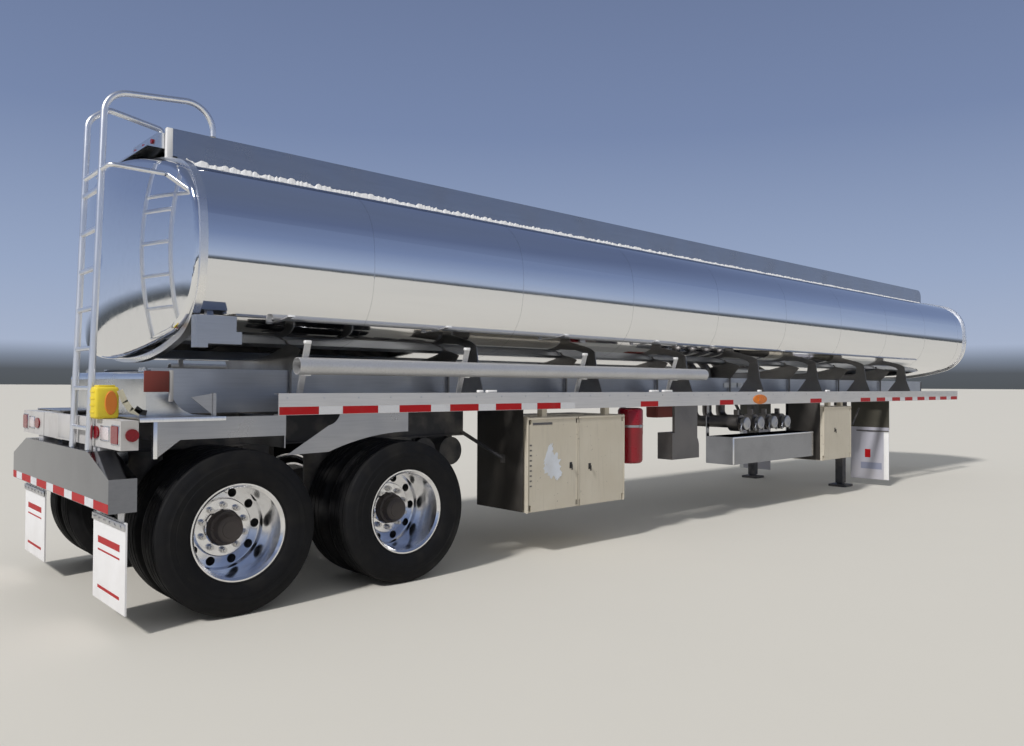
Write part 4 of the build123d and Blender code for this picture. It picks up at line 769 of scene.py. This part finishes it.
class TRAILER_OT_tank_seams(bpy.types.Operator):
    """Weld seams round the tank and the ragged sealant along the overturn rails, whose white is partly a
    painted glint
    """

    bl_idname = "trailer.tank_seams"
    bl_label = "Tank seams"

    first_seam = 0.95
    lift = 0.0005

    def execute(self, context):
        sizes = context.scene.trailer_sizes
        bm = bmesh.new()
        x = station(self.first_seam)
        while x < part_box("tank_shell")[1].x - 0.3:
            self.band(bm, x - sizes.seam_width / 2, x + sizes.seam_width / 2)
            x += sizes.seam_pitch
        finish_piece("tank_seams", bm, "weld_bead", 50)
        for side in ("left", "right"):
            self.sealant(side)
            self.end_strip(side)
        return {"FINISHED"}

    def band(self, bm, start, end):
        """A strip of the shell's own outline, lifted a little off it."""
        strip = bmesh.new()
        strip.from_mesh(NODES["tank_shell"].data)
        bmesh.ops.remove_doubles(strip, verts=strip.verts, dist=0.0001)
        for x, cut in ((start, "behind"), (end, "ahead")):
            parts = strip.verts[:] + strip.edges[:] + strip.faces[:]
            bmesh.ops.bisect_plane(
                strip, geom=parts, plane_co=(x, 0, 0), plane_no=(1, 0, 0),
                clear_inner=cut == "behind", clear_outer=cut == "ahead",
            )
        bmesh.ops.recalc_face_normals(strip, faces=strip.faces)
        for vert in strip.verts:
            vert.co += Vector((0.0, vert.normal.y, vert.normal.z)).normalized() * self.lift
        mesh = bpy.data.meshes.new("seam")
        strip.to_mesh(mesh)
        strip.free()
        bm.from_mesh(mesh)
        bpy.data.meshes.remove(mesh)

    def sealant(self, side):
        """Ragged white bead where the rail meets the crown, wider towards the rear: real sealant, with a
        painted glint of sun in its white.
        """
        low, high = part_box("overturn_rail_" + side)
        outer, sign, seed = (low.y, -1, 11) if side == "right" else (high.y, 1, 7)
        rng = random.Random(seed)
        start, end = low.x + 0.12, high.x - 0.08
        bm = bmesh.new()
        middle = Vector(((start + end) / 2, outer, low.z))
        matrix = Matrix.Translation(middle) @ Matrix.Rotation(math.pi / 2, 4, "X")
        matrix = matrix @ Matrix.Diagonal((end - start, 1.0, 1.0, 1.0))
        bmesh.ops.create_grid(bm, x_segments=900, y_segments=1, size=0.5, matrix=matrix)
        blob = 0.0
        for vert in sorted(bm.verts, key=lambda v: (v.co.z > low.z, v.co.x)):
            rearward = (end - vert.co.x) / (end - start)
            blob = 0.4 * blob + rng.uniform(-0.008, 0.008)
            if vert.co.z > low.z:
                vert.co.z = low.z + 0.012 + 0.017 * rearward + blob * (0.4 + rearward)
                vert.co.y = outer + sign * 0.002
            else:
                vert.co.z = low.z - 0.004 + 0.3 * blob
                vert.co.y = outer + sign * 0.019
        bmesh.ops.solidify(bm, geom=bm.faces[:], thickness=0.004)
        # White bead of sealant that also paints the sun's glint along the seam
        finish_piece("rail_sealant_and_glint_" + side, bm, "seal_white")

    def end_strip(self, side):
        """Pale edge plate on the rear tip of an overturn rail."""
        low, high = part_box("overturn_rail_" + side)
        bm = bmesh.new()
        x, y = (low.x - 0.003, low.x + 0.034), (low.y - 0.002, high.y + 0.002)
        add_box(bm, x, y, (high.z - 0.190, high.z), 0.0015)
        finish_piece("rail_end_" + side, bm, "seal_white", 30)


class TRAILER_OT_ladder(bpy.types.Operator):
    """Ladder at the rear head, with its hoop and handrail bent in wide curves"""

    bl_idname = "trailer.ladder"
    bl_label = "Ladder"

    # Stations of the posts' foot and top, heights, radius of the bend at each corner, rungs and stay
    radius = 0.0195
    hoop_y, handrail_y = -0.700, -0.350
    foot, top = -0.727, -0.660
    top_z, seat_z = 3.200, 3.0605
    hoop_bends, handrail_bends = (0.150, 0.165), (0.110, 0.070, 0.035)
    rungs, first_rung, rung_pitch = 7, 1.150, 0.2427
    stay_y, stay_z, stay_end, stay_bend, stay_radius = -0.860, 2.720, -0.3613, 0.040, 0.014

    def execute(self, context):
        bm = bmesh.new()
        foot_x, foot_z = station(self.foot), BUMPER_HIGH.z + 0.002
        top_x = station(self.top)
        lean = (top_x - foot_x) / (self.top_z - foot_z)
        hoop_end, handrail_end, corner_z = station(0.003), station(-0.202), 3.105
        hoop = ((foot_x, foot_z), (top_x, self.top_z), (hoop_end, 3.2775), (hoop_end, self.seat_z))
        handrail = (
            (foot_x, foot_z), (foot_x + lean * (corner_z - foot_z), corner_z), (station(-0.545), 3.200),
            (handrail_end, 3.140), (handrail_end, self.seat_z),
        )
        add_bent_tube(bm, [(x, self.hoop_y, z) for x, z in hoop], self.hoop_bends, self.radius)
        add_bent_tube(bm, [(x, self.handrail_y, z) for x, z in handrail], self.handrail_bends, self.radius)
        y = (self.hoop_y + self.radius / 2, self.handrail_y - self.radius / 2)
        for i in range(self.rungs):
            z = self.first_rung + self.rung_pitch * i
            x = foot_x + lean * (z - foot_z)
            add_box(bm, (x - 0.014, x + 0.014), y, (z - 0.012, z + 0.012), 0.003)
        x, z = foot_x + lean * (self.stay_z - foot_z), self.stay_z
        stay = ((x, self.handrail_y, z), (x, self.stay_y, z), (station(self.stay_end), self.stay_y, z))
        add_bent_tube(bm, stay, (self.stay_bend,), self.stay_radius)
        piece = finish_piece("ladder_tubes", bm, "ladder_bright", 35)
        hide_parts("ladder")
        return {"FINISHED"}


class TRAILER_OT_rear_fittings(bpy.types.Operator):
    """End plate, strip and knobs of the bolster, and the yellow service housing with its strap"""

    bl_idname = "trailer.rear_fittings"
    bl_label = "Rear fittings"

    def execute(self, context):
        low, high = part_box("rear_fittings")
        top, rear, outer = high.z, low.x, low.y - 0.0005
        plate = bmesh.new()
        add_box(plate, (rear - 0.016, rear + 0.134), (low.y - 0.012, outer), (top - 0.13, top), 0.004)
        finish_piece("bolster_end_plate", plate, "plate_red", 30)
        strip = bmesh.new()
        add_box(strip, (rear + 0.135, rear + 0.160), (low.y - 0.010, outer), (top - 0.19, top + 0.004), 0.003)
        finish_piece("bolster_end_strip", strip, "light_panel", 30)
        self.housing()
        self.knobs(low, high)
        return {"FINISHED"}

    def housing(self):
        """Small service housing on the light bar, with a round window and a strap."""
        bar_low, bar_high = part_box("light_bar")
        x = (bar_low.x - 0.043, bar_low.x + 0.090)
        y = (-0.860, -0.740)
        z = (bar_high.z - 0.0025, bar_high.z + 0.187)
        rear, fore = x
        box = bmesh.new()
        add_box(box, x, y, z, 0.018, 3)
        lid = (z[1] - 0.004, z[1] + 0.010)
        add_box(box, (rear + 0.02, fore - 0.02), (y[0] + 0.015, y[1] - 0.015), lid, 0.004)
        for height in (0.035, 0.075, 0.115, 0.155):
            rib = (z[0] + height, z[0] + height + 0.012)
            add_box(box, (rear - 0.004, rear + 0.004), (y[0] + 0.02, y[1] - 0.02), rib, 0.002)
        finish_piece("service_housing", box, "housing_yellow", 40)
        window = bmesh.new()
        matrix = Matrix.Translation(((rear + fore) / 2 + 0.018, y[0] - 0.002, (z[0] + z[1]) / 2))
        matrix = matrix @ Matrix.Diagonal((0.72, 1.0, 1.5, 1.0)) @ Matrix.Rotation(math.pi / 2, 4, "X")
        add_cone(window, matrix, 0.050, 0.044, 0.014, 36)
        finish_piece("housing_window", window, "housing_orange", 40)
        self.strap(fore, y[0] - 0.004, z[0])

    def strap(self, x, y, z):
        """Pale strap of stiff flat links at the housing, and its dark buckle."""
        for name, finish, points in (
            ("housing_strap", "strap_cream", ((0.0, 0.165), (0.028, 0.10), (0.062, 0.05), (0.110, 0.03))),
            ("housing_buckle", "strap_black", ((0.090, 0.060), (0.120, 0.036), (0.150, 0.030))),
        ):
            bm = bmesh.new()
            for (x0, z0), (x1, z1) in zip(points, points[1:]):
                self.flat_link(bm, Vector((x + x0, y, z + z0)), Vector((x + x1, y, z + z1)), 0.034)
            finish_piece(name, bm, finish, 40)

    def flat_link(self, bm, start, end, width):
        """One flat run of the strap, leaning in the plane of X and Z."""
        along = end - start
        lean = math.atan2(along.z, along.x)
        matrix = Matrix.Translation((start + end) / 2) @ Matrix.Rotation(-lean, 4, "Y")
        matrix = matrix @ Matrix.Diagonal((along.length * 1.12, 0.006, width, 1.0))
        bmesh.ops.create_cube(bm, size=1.0, matrix=matrix)

    def knobs(self, low, high):
        """Bright round knobs along the bolster's top."""
        bm = bmesh.new()
        x, top = low.x + 0.06, high.z
        for y in (-0.56, -0.62, 0.56, 0.62):
            add_rod(bm, (x, y, top - 0.002), (x, y, top + 0.018), 0.017, 16)
            add_rod(bm, (x, y, top + 0.017), (x, y, top + 0.026), 0.010, 12)
        finish_piece("bolster_knobs", bm, "polished_trim", 40)


class TRAILER_OT_lamps(bpy.types.Operator):
    """Bezels round the rear lamps, the white lamps and the blank number plate"""

    bl_idname = "trailer.lamps"
    bl_label = "Lamp bezels"

    # Lamps on each side of the light bar: distance from the middle, half width, half height, white or not
    lamps = ((0.907, 0.0775, 0.0375, True), (1.102, 0.062, 0.050, False))
    lamp_z = 1.130
    rim = 0.007

    def execute(self, context):
        face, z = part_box("light_bar")[0].x, self.lamp_z
        bezel, clear = bmesh.new(), bmesh.new()
        for side in (-1, 1):
            for y, half, rise, white in self.lamps:
                y *= side
                self.frame_round(bezel, face, y, z, half, rise)
                if white:
                    add_box(clear, (face - 0.008, face), (y - half, y + half), (z - rise, z + rise), 0.005)
        finish_piece("lamp_bezels", bezel, "polished_trim", 30)
        finish_piece("reversing_lamps", clear, "clear_lens", 30)
        plate = bmesh.new()
        add_box(plate, (face - 0.004, face), (-0.152, 0.152), (1.060, 1.212), 0.0015)
        finish_piece("number_plate", plate, "light_panel", 30)
        return {"FINISHED"}

    def frame_round(self, bm, face, y, z, half, rise):
        """Four slim bars round a lamp."""
        x, rim = (face - 0.006, face + 0.001), self.rim
        for z0 in (z + rise, z - rise - rim):
            add_box(bm, x, (y - half - rim, y + half + rim), (z0, z0 + rim), 0.002)
        for y0 in (y - half - rim, y + half):
            add_box(bm, x, (y0, y0 + rim), (z - rise, z + rise), 0.002)


class TRAILER_OT_flap_fittings(bpy.types.Operator):
    """Clamp bars, pale strips of painted highlight at the front flaps' edges, and plain coloured bands and
    blocks of the mud flaps
    """

    bl_idname = "trailer.flap_fittings"
    bl_label = "Flap fittings"

    def execute(self, context):
        bars, bands = bmesh.new(), bmesh.new()
        edge_highlight_strips, blocks, clamps = bmesh.new(), bmesh.new(), bmesh.new()
        for side in (-1, 1):
            self.rear(side, bars, bands)
        for side in (-1, 1):
            self.front(side, bands, edge_highlight_strips, blocks, clamps)
        finish_piece("front_flap_edge_highlights", edge_highlight_strips, "seal_white", 30)
        finish_piece("front_flap_blocks", blocks, "flap_block")
        finish_piece("front_flap_clamps", clamps, "grey_steel", 30)
        finish_piece("flap_clamps", bars, "brushed_aluminium", 30)
        finish_piece("flap_bands", bands, "tape_red")
        return {"FINISHED"}

    rear_inner, rear_top, bolts = 0.605, 0.645, 6

    def rear(self, side, bars, bands):
        """Bolted bar at the top of a rear flap, and three red bands."""
        low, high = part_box("rear_mud_flaps")
        inner, outer, top = side * self.rear_inner, side * high.y, self.rear_top
        add_box(bars, (low.x - 0.010, low.x - 0.0005), (inner, outer), (top - 0.045, top - 0.005), 0.002)
        for i in range(self.bolts):
            foot = Vector((low.x - 0.010, inner + (outer - inner) * (0.08 + 0.168 * i), top - 0.025))
            add_rod(bars, foot, foot - Vector((0.007, 0, 0)), 0.009, 6)
        for z, height in ((0.47, 0.040), (0.425, 0.010), (0.20, 0.018)):
            y = (inner + side * 0.10, outer - side * 0.10)
            add_box(bands, (low.x - 0.0015, low.x - 0.0002), y, (z, z + height))

    def front(self, side, bands, edge_highlight_strips, blocks, clamps):
        """Pale strip of painted highlight at the outer edge of a front flap, a red and a grey block, and the
        bar at its top.
        """
        low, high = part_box("front_mud_flaps")
        face, outer = (low.x - 0.0015, low.x - 0.0002), side * high.y
        add_box(bands, face, (side * 0.86, side * 0.94), (0.40, 0.52))
        add_box(blocks, face, (side * 0.80, side * 1.10), (0.235, 0.330))
        # Painted highlight where the flap's outer edge catches the sun
        add_box(edge_highlight_strips, face, (outer, outer - side * 0.070), (low.z + 0.004, high.z - 0.05), 0.0004)
        add_box(clamps, (low.x - 0.012, low.x - 0.0005), (side * 0.74, outer), (0.780, 0.796), 0.002)


class TRAILER_OT_cabinet_hardware(bpy.types.Operator):
    """Latches, bright door edges, slots, the remains of a label, and dark sheets of painted shade on the
    cabinets' rear sides
    """

    bl_idname = "trailer.cabinet_hardware"
    bl_label = "Cabinet hardware"

    # Doors: node, body, distance of the latch from the door's rear edge, its height
    doors = (
        ("large_cabinet_door_rear", "cabinet_door_rear", 0.520, 0.735),
        ("large_cabinet_door_front", "cabinet_door_front", 0.150, 0.711),
        ("small_cabinet_door", "small_door", 0.300, 0.870),
    )
    # The sheets of painted shade start this far behind the doors, clear of their swing
    sheet_back = 0.050

    def execute(self, context):
        for node, body, reach, z in self.doors:
            low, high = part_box(node)
            self.latch(node, body, Vector((low.x + reach, low.y, z)))
            edge = bmesh.new()
            lip = (high.z - 0.016, high.z - 0.003)
            add_box(edge, (low.x + 0.004, high.x - 0.004), (low.y - 0.007, low.y), lip, 0.002)
            for x in (low.x + 0.002, high.x - 0.012):
                add_box(edge, (x, x + 0.010), (low.y - 0.003, low.y), (low.z + 0.004, high.z - 0.018), 0.001)
            finish_piece(node + "_edge", edge, "beige_cabinet", 30, body=body)
        self.hinge_slots()
        self.torn_label()
        self.shade_sheets()
        return {"FINISHED"}

    def shade_sheets(self):
        """Dark sheets of painted shade on the sides of the cabinets that face backwards."""
        bm = bmesh.new()
        for node in ("large_cabinet", "small_cabinet"):
            low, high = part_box(node)
            y, z = (low.y + self.sheet_back, high.y - 0.003), (low.z + 0.004, high.z - 0.002)
            add_box(bm, (low.x - 0.002, low.x), y, z, 0.0008)
        finish_piece("cabinet_shade_sheets", bm, "cabinet_painted_shade", 30)

    def latch(self, node, body, place):
        """Small keyed latch: an escutcheon, its barrel and a short lever."""
        bm = bmesh.new()
        x, y, z = place
        add_box(bm, (x - 0.016, x + 0.016), (y - 0.002, y), (z - 0.026, z + 0.026), 0.0015)
        add_rod(bm, (x, y - 0.001, z), (x, y - 0.014, z), 0.010, 16)
        add_box(bm, (x - 0.006, x + 0.006), (y - 0.020, y - 0.012), (z - 0.040, z + 0.008), 0.003)
        finish_piece(node + "_latch", bm, "strap_black", 30, body=body)

    def hinge_slots(self):
        """Pull slot and the row of short slots down the hinge side of the rear door."""
        low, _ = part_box("large_cabinet_door_rear")
        bm = bmesh.new()
        add_box(bm, (low.x + 0.060, low.x + 0.290), (low.y - 0.0015, low.y), (1.092, 1.112), 0.0007)
        for i in range(9):
            z = 0.585 + 0.042 * i
            add_box(bm, (low.x + 0.026, low.x + 0.050), (low.y - 0.0012, low.y), (z, z + 0.012), 0.0005)
        finish_piece("cabinet_hinge_slots", bm, "dark_metal", 30, body="cabinet_door_rear")

    # Scraps of paper: distance along the door, height, half width, half height, lean
    scraps = (
        (0.30, 0.74, 0.115, 0.125, 0.2),
        (0.245, 0.84, 0.040, 0.120, -0.5),
        (0.36, 0.67, 0.060, 0.045, 0.8),
    )

    def torn_label(self):
        """Blank pale scraps of paper that are left on the rear door."""
        low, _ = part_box("large_cabinet_door_rear")
        rng = random.Random(5)
        bm = bmesh.new()
        for layer, (along, z, wide, tall, lean) in enumerate(self.scraps, start=1):
            matrix = Matrix.Translation((low.x + along, low.y - 0.0009 * layer, z))
            matrix = matrix @ Matrix.Rotation(math.pi / 2, 4, "X") @ Matrix.Rotation(lean, 4, "Z")
            matrix = matrix @ Matrix.Diagonal((wide, tall, 1.0, 1.0))
            scrap = bmesh.ops.create_circle(bm, cap_ends=True, segments=34, radius=1.0, matrix=matrix)
            middle = matrix.translation
            for vert in scrap["verts"]:
                vert.co = middle + (vert.co - middle) * rng.uniform(0.62, 1.05)
        bmesh.ops.solidify(bm, geom=bm.faces[:], thickness=0.0006)
        finish_piece("torn_label", bm, "label_white", body="cabinet_door_rear")


class TRAILER_OT_small_fittings(bpy.types.Operator):
    """Clamps, rivets, dust caps, extinguisher case, marker surrounds, edges and pieces under the frame"""

    bl_idname = "trailer.small_fittings"
    bl_label = "Small fittings"

    def execute(self, context):
        self.clamps()
        self.rivets()
        self.adapter_caps()
        self.extinguisher()
        self.side_markers()
        self.under_frame()
        self.bright_edges()
        return {"FINISHED"}

    # Clamps on the rail: station of the start, width
    rail_clamps = ((1.90, 0.05), (1.99, 0.10), (4.07, 0.12), (4.27, 0.14), (6.05, 0.05), (7.69, 0.08))

    def clamps(self):
        """Pale clamps where the stakes hold the tubes, and on the right rail's top."""
        bm = bmesh.new()
        for side in (-1, 1):
            for i in range(4):
                x = station(0.45 + 1.36 * i)
                add_box(bm, (x - 0.006, x + 0.046), (side * 1.090, side * 1.150), (1.478, 1.500), 0.005)
                add_box(bm, (x - 0.004, x + 0.044), (side * 1.128, side * 1.158), (1.690, 1.712), 0.005)
        y, z = (RAIL_LOW.y + 0.012, RAIL_LOW.y + 0.045), (RAIL_HIGH.z, RAIL_HIGH.z + 0.020)
        for distance, width in self.rail_clamps:
            add_box(bm, (station(distance), station(distance) + width), y, z, 0.006)
        finish_piece("tube_clamps", bm, "seal_white", 40)

    rivet_pitch = 0.2625

    def rivets(self):
        """Row of rivets along both rails."""
        bm = bmesh.new()
        for side in (-1, 1):
            x = RAIL_LOW.x + 0.06
            while x < RAIL_HIGH.x - 0.05:
                foot = Vector((x, side * RAIL_OUTER, RAIL_HIGH.z - 0.030))
                add_rod(bm, foot, foot + Vector((0, side * 0.0035, 0)), 0.0065, 6)
                x += self.rivet_pitch
        finish_piece("rail_rivets", bm, "brushed_aluminium", 30)

    adapters = (5.85, 6.15, 6.45, 6.75)
    adapter_y, adapter_z = -1.160, 1.010

    def adapter_caps(self):
        """Dust caps with their cam levers on the loading adapters."""
        profile = (
            (-0.034, 0.064), (-0.034, 0.071), (0.010, 0.071), (0.016, 0.064), (0.018, 0.040), (0.014, 0.036),
            (0.014, 0.0),
        )
        bm = bmesh.new()
        for distance in self.adapters:
            centre = Vector((station(distance), self.adapter_y, self.adapter_z))
            add_turned(bm, centre, (0, -1, 0), profile, 36)
            y, z = (centre.y + 0.004, centre.y + 0.026), (centre.z - 0.090, centre.z - 0.045)
            for side in (-1, 1):
                ear, tip = Vector((side * 0.070, 0.014, 0)), Vector((side * 0.088, 0.014, -0.055))
                add_rod(bm, centre + ear, centre + tip, 0.008, 8)
                add_box(bm, (centre.x + side * 0.078, centre.x + side * 0.092), y, z, 0.004)
        finish_piece("adapter_caps", bm, "cap_metal", 35)

    def extinguisher(self):
        """Red weather case round the bottle, and its strap."""
        low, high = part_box("extinguisher")
        centre = Vector((low.x + 0.088, (low.y + high.y) / 2, low.z))
        x, y, z = centre
        top = RAIL_LOW.z - 0.012 - low.z
        profile = (
            (-0.010, 0.0), (-0.010, 0.094), (0.002, 0.110), (0.018, 0.1165), (0.262, 0.1165), (0.266, 0.1185),
            (top - 0.024, 0.1185), (top - 0.006, 0.108), (top, 0.090), (top, 0.0),
        )
        case = bmesh.new()
        add_turned(case, centre, (0, 0, 1), profile, 48)
        finish_piece("extinguisher_case", case, "red_paint", 40)
        strap = bmesh.new()
        ring = ((0.330, 0.1180), (0.330, 0.1200), (0.352, 0.1200), (0.352, 0.1180), (0.330, 0.1180))
        add_turned(strap, centre, (0, 0, 1), ring, 48)
        add_box(strap, (x - 0.014, x + 0.014), (y - 0.126, y - 0.117), (z + 0.326, z + 0.356), 0.003)
        finish_piece("extinguisher_strap", strap, "cap_metal", 40)

    def side_markers(self):
        """Orange oval surrounds of the marker lamps, half way along the rails."""
        low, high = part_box("marker_lamps")
        x, z = (low.x + high.x) / 2, (low.z + high.z) / 2
        bm = bmesh.new()
        for side in (-1, 1):
            turn = Matrix.Rotation(-side * math.pi / 2, 4, "X")
            matrix = Matrix.Translation((x, side * (RAIL_OUTER + 0.004), z))
            matrix = matrix @ Matrix.Diagonal((1.0, 1.0, 0.36, 1.0)) @ turn
            add_cone(bm, matrix, 0.150, 0.138, 0.008, 48)
        finish_piece("marker_surrounds", bm, "housing_orange", 40)

    def under_frame(self):
        """Dark red box on the right frame beam, brace to the cabinet and blank squares on the web."""
        beam_low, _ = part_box("frame_beams")
        box = bmesh.new()
        y = (-0.60, -0.445)
        add_box(box, (station(4.96), station(5.30)), y, (1.075, beam_low.z - 0.0005), 0.022, 3)
        add_box(box, (station(4.975), station(5.285)), (y[0] - 0.004, y[0] + 0.004), (1.095, 1.185), 0.003)
        squares = bmesh.new()
        for i in range(4):
            x = station(6.41 + 0.155 * i)
            add_box(squares, (x, x + 0.11), (-0.5212, -0.520), (1.408, 1.470), 0.0005)
        finish_piece("blank_squares", squares, "label_white")
        finish_piece("frame_box", box, "plate_red", 40)
        cabinet_low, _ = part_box("large_cabinet")
        brace = bmesh.new()
        foot = Vector((cabinet_low.x + 0.004, -0.90, 0.80))
        add_rod(brace, (station(2.31), -0.47, 1.02), foot, 0.016, 12)
        y, z = (foot.y - 0.03, foot.y + 0.03), (foot.z - 0.035, foot.z + 0.035)
        add_box(brace, (foot.x - 0.008, foot.x), y, z, 0.002)
        finish_piece("cabinet_brace", brace, "grey_steel", 40)

    def bright_edges(self):
        """Pale edges: the rear deck and its corner post, and the post at the end of the trough."""
        _, deck_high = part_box("arch_plates")
        trough_low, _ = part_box("spill_trough")
        bm = bmesh.new()
        for side in (-1, 1):
            y = (side * deck_high.y, side * (deck_high.y + 0.003))
            add_box(bm, (station(-0.597), station(-0.100)), y, (1.202, 1.226), 0.001)
            add_box(bm, (station(-0.522), station(-0.500)), y, (0.992, 1.202), 0.001)
        add_box(bm, (trough_low.x - 0.003, trough_low.x + 0.026), (-1.1225, -1.1200), (0.560, 0.858), 0.001)
        add_box(bm, (trough_low.x, station(7.485)), (-1.1235, -1.1200), (0.846, 0.861), 0.001)
        finish_piece("bright_edges", bm, "ladder_bright", 30)


class TRAILER_OT_manhole_hardware(bpy.types.Operator):
    """Two rings of bolts on every manhole lid"""

    bl_idname = "trailer.manhole_hardware"
    bl_label = "Manhole hardware"

    # Rings: bolts, first angle in steps, radius, centre forward and up from the lid's, head height and radius
    rings = ((12, 0.5, 0.245, 0.0, 0.0, 0.012, 0.012), (6, 0.0, 0.105, 0.040, 0.0335, 0.009, 0.009))
    hinge_reach = 0.2

    def execute(self, context):
        for number in ("1", "2", "3", "4"):
            low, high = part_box("manhole_lid_" + number)
            centre = Vector((high.x - 0.276, 0.0, low.z + 0.016))
            bm = bmesh.new()
            for count, turn, circle, ahead, up, height, radius in self.rings:
                for i in range(count):
                    angle = math.tau * (i + turn) / count
                    foot = centre + Vector((ahead + math.cos(angle) * circle, math.sin(angle) * circle, up))
                    if foot.x > centre.x - self.hinge_reach:
                        add_rod(bm, foot, foot + Vector((0, 0, height)), radius, 6)
            body = "lid_" + number
            finish_piece("lid_bolts_" + number, bm, "polished_trim", 30, body=body)
        return {"FINISHED"}


class TRAILER_PT_panel(bpy.types.Panel):
    """Lists the trailer's groups of pieces, sizes and colours"""

    bl_idname = "TRAILER_PT_panel"
    bl_label = "Fuel tanker trailer"
    bl_space_type = "VIEW_3D"
    bl_region_type = "UI"
    bl_category = "Trailer"

    def draw(self, context):
        layout = self.layout
        for operator in OPERATORS:
            layout.operator(operator.bl_idname)
        for group in (context.scene.trailer_sizes, context.scene.trailer_colours):
            for name in group.__annotations__:
                layout.prop(group, name)


OPERATORS = (
    TRAILER_OT_stage,
    TRAILER_OT_frame_finishes,
    TRAILER_OT_tyres,
    TRAILER_OT_wheel_fittings,
    TRAILER_OT_tape,
    TRAILER_OT_tank_seams,
    TRAILER_OT_ladder,
    TRAILER_OT_rear_fittings,
    TRAILER_OT_lamps,
    TRAILER_OT_flap_fittings,
    TRAILER_OT_cabinet_hardware,
    TRAILER_OT_small_fittings,
    TRAILER_OT_manhole_hardware,
)
CLASSES = (TrailerSizes, TrailerColours, *OPERATORS, TRAILER_PT_panel)


def register():
    for cls in CLASSES:
        bpy.utils.register_class(cls)
    bpy.types.Scene.trailer_sizes = PointerProperty(type=TrailerSizes)
    bpy.types.Scene.trailer_colours = PointerProperty(type=TrailerColours)


def unregister():
    del bpy.types.Scene.trailer_colours
    del bpy.types.Scene.trailer_sizes
    for cls in reversed(CLASSES):
        bpy.utils.unregister_class(cls)


def main():
    register()
    for operator in OPERATORS:
        prefix, name = operator.bl_idname.split(".")
        getattr(getattr(bpy.ops, prefix), name)()


if __name__ == "__main__":
    main()
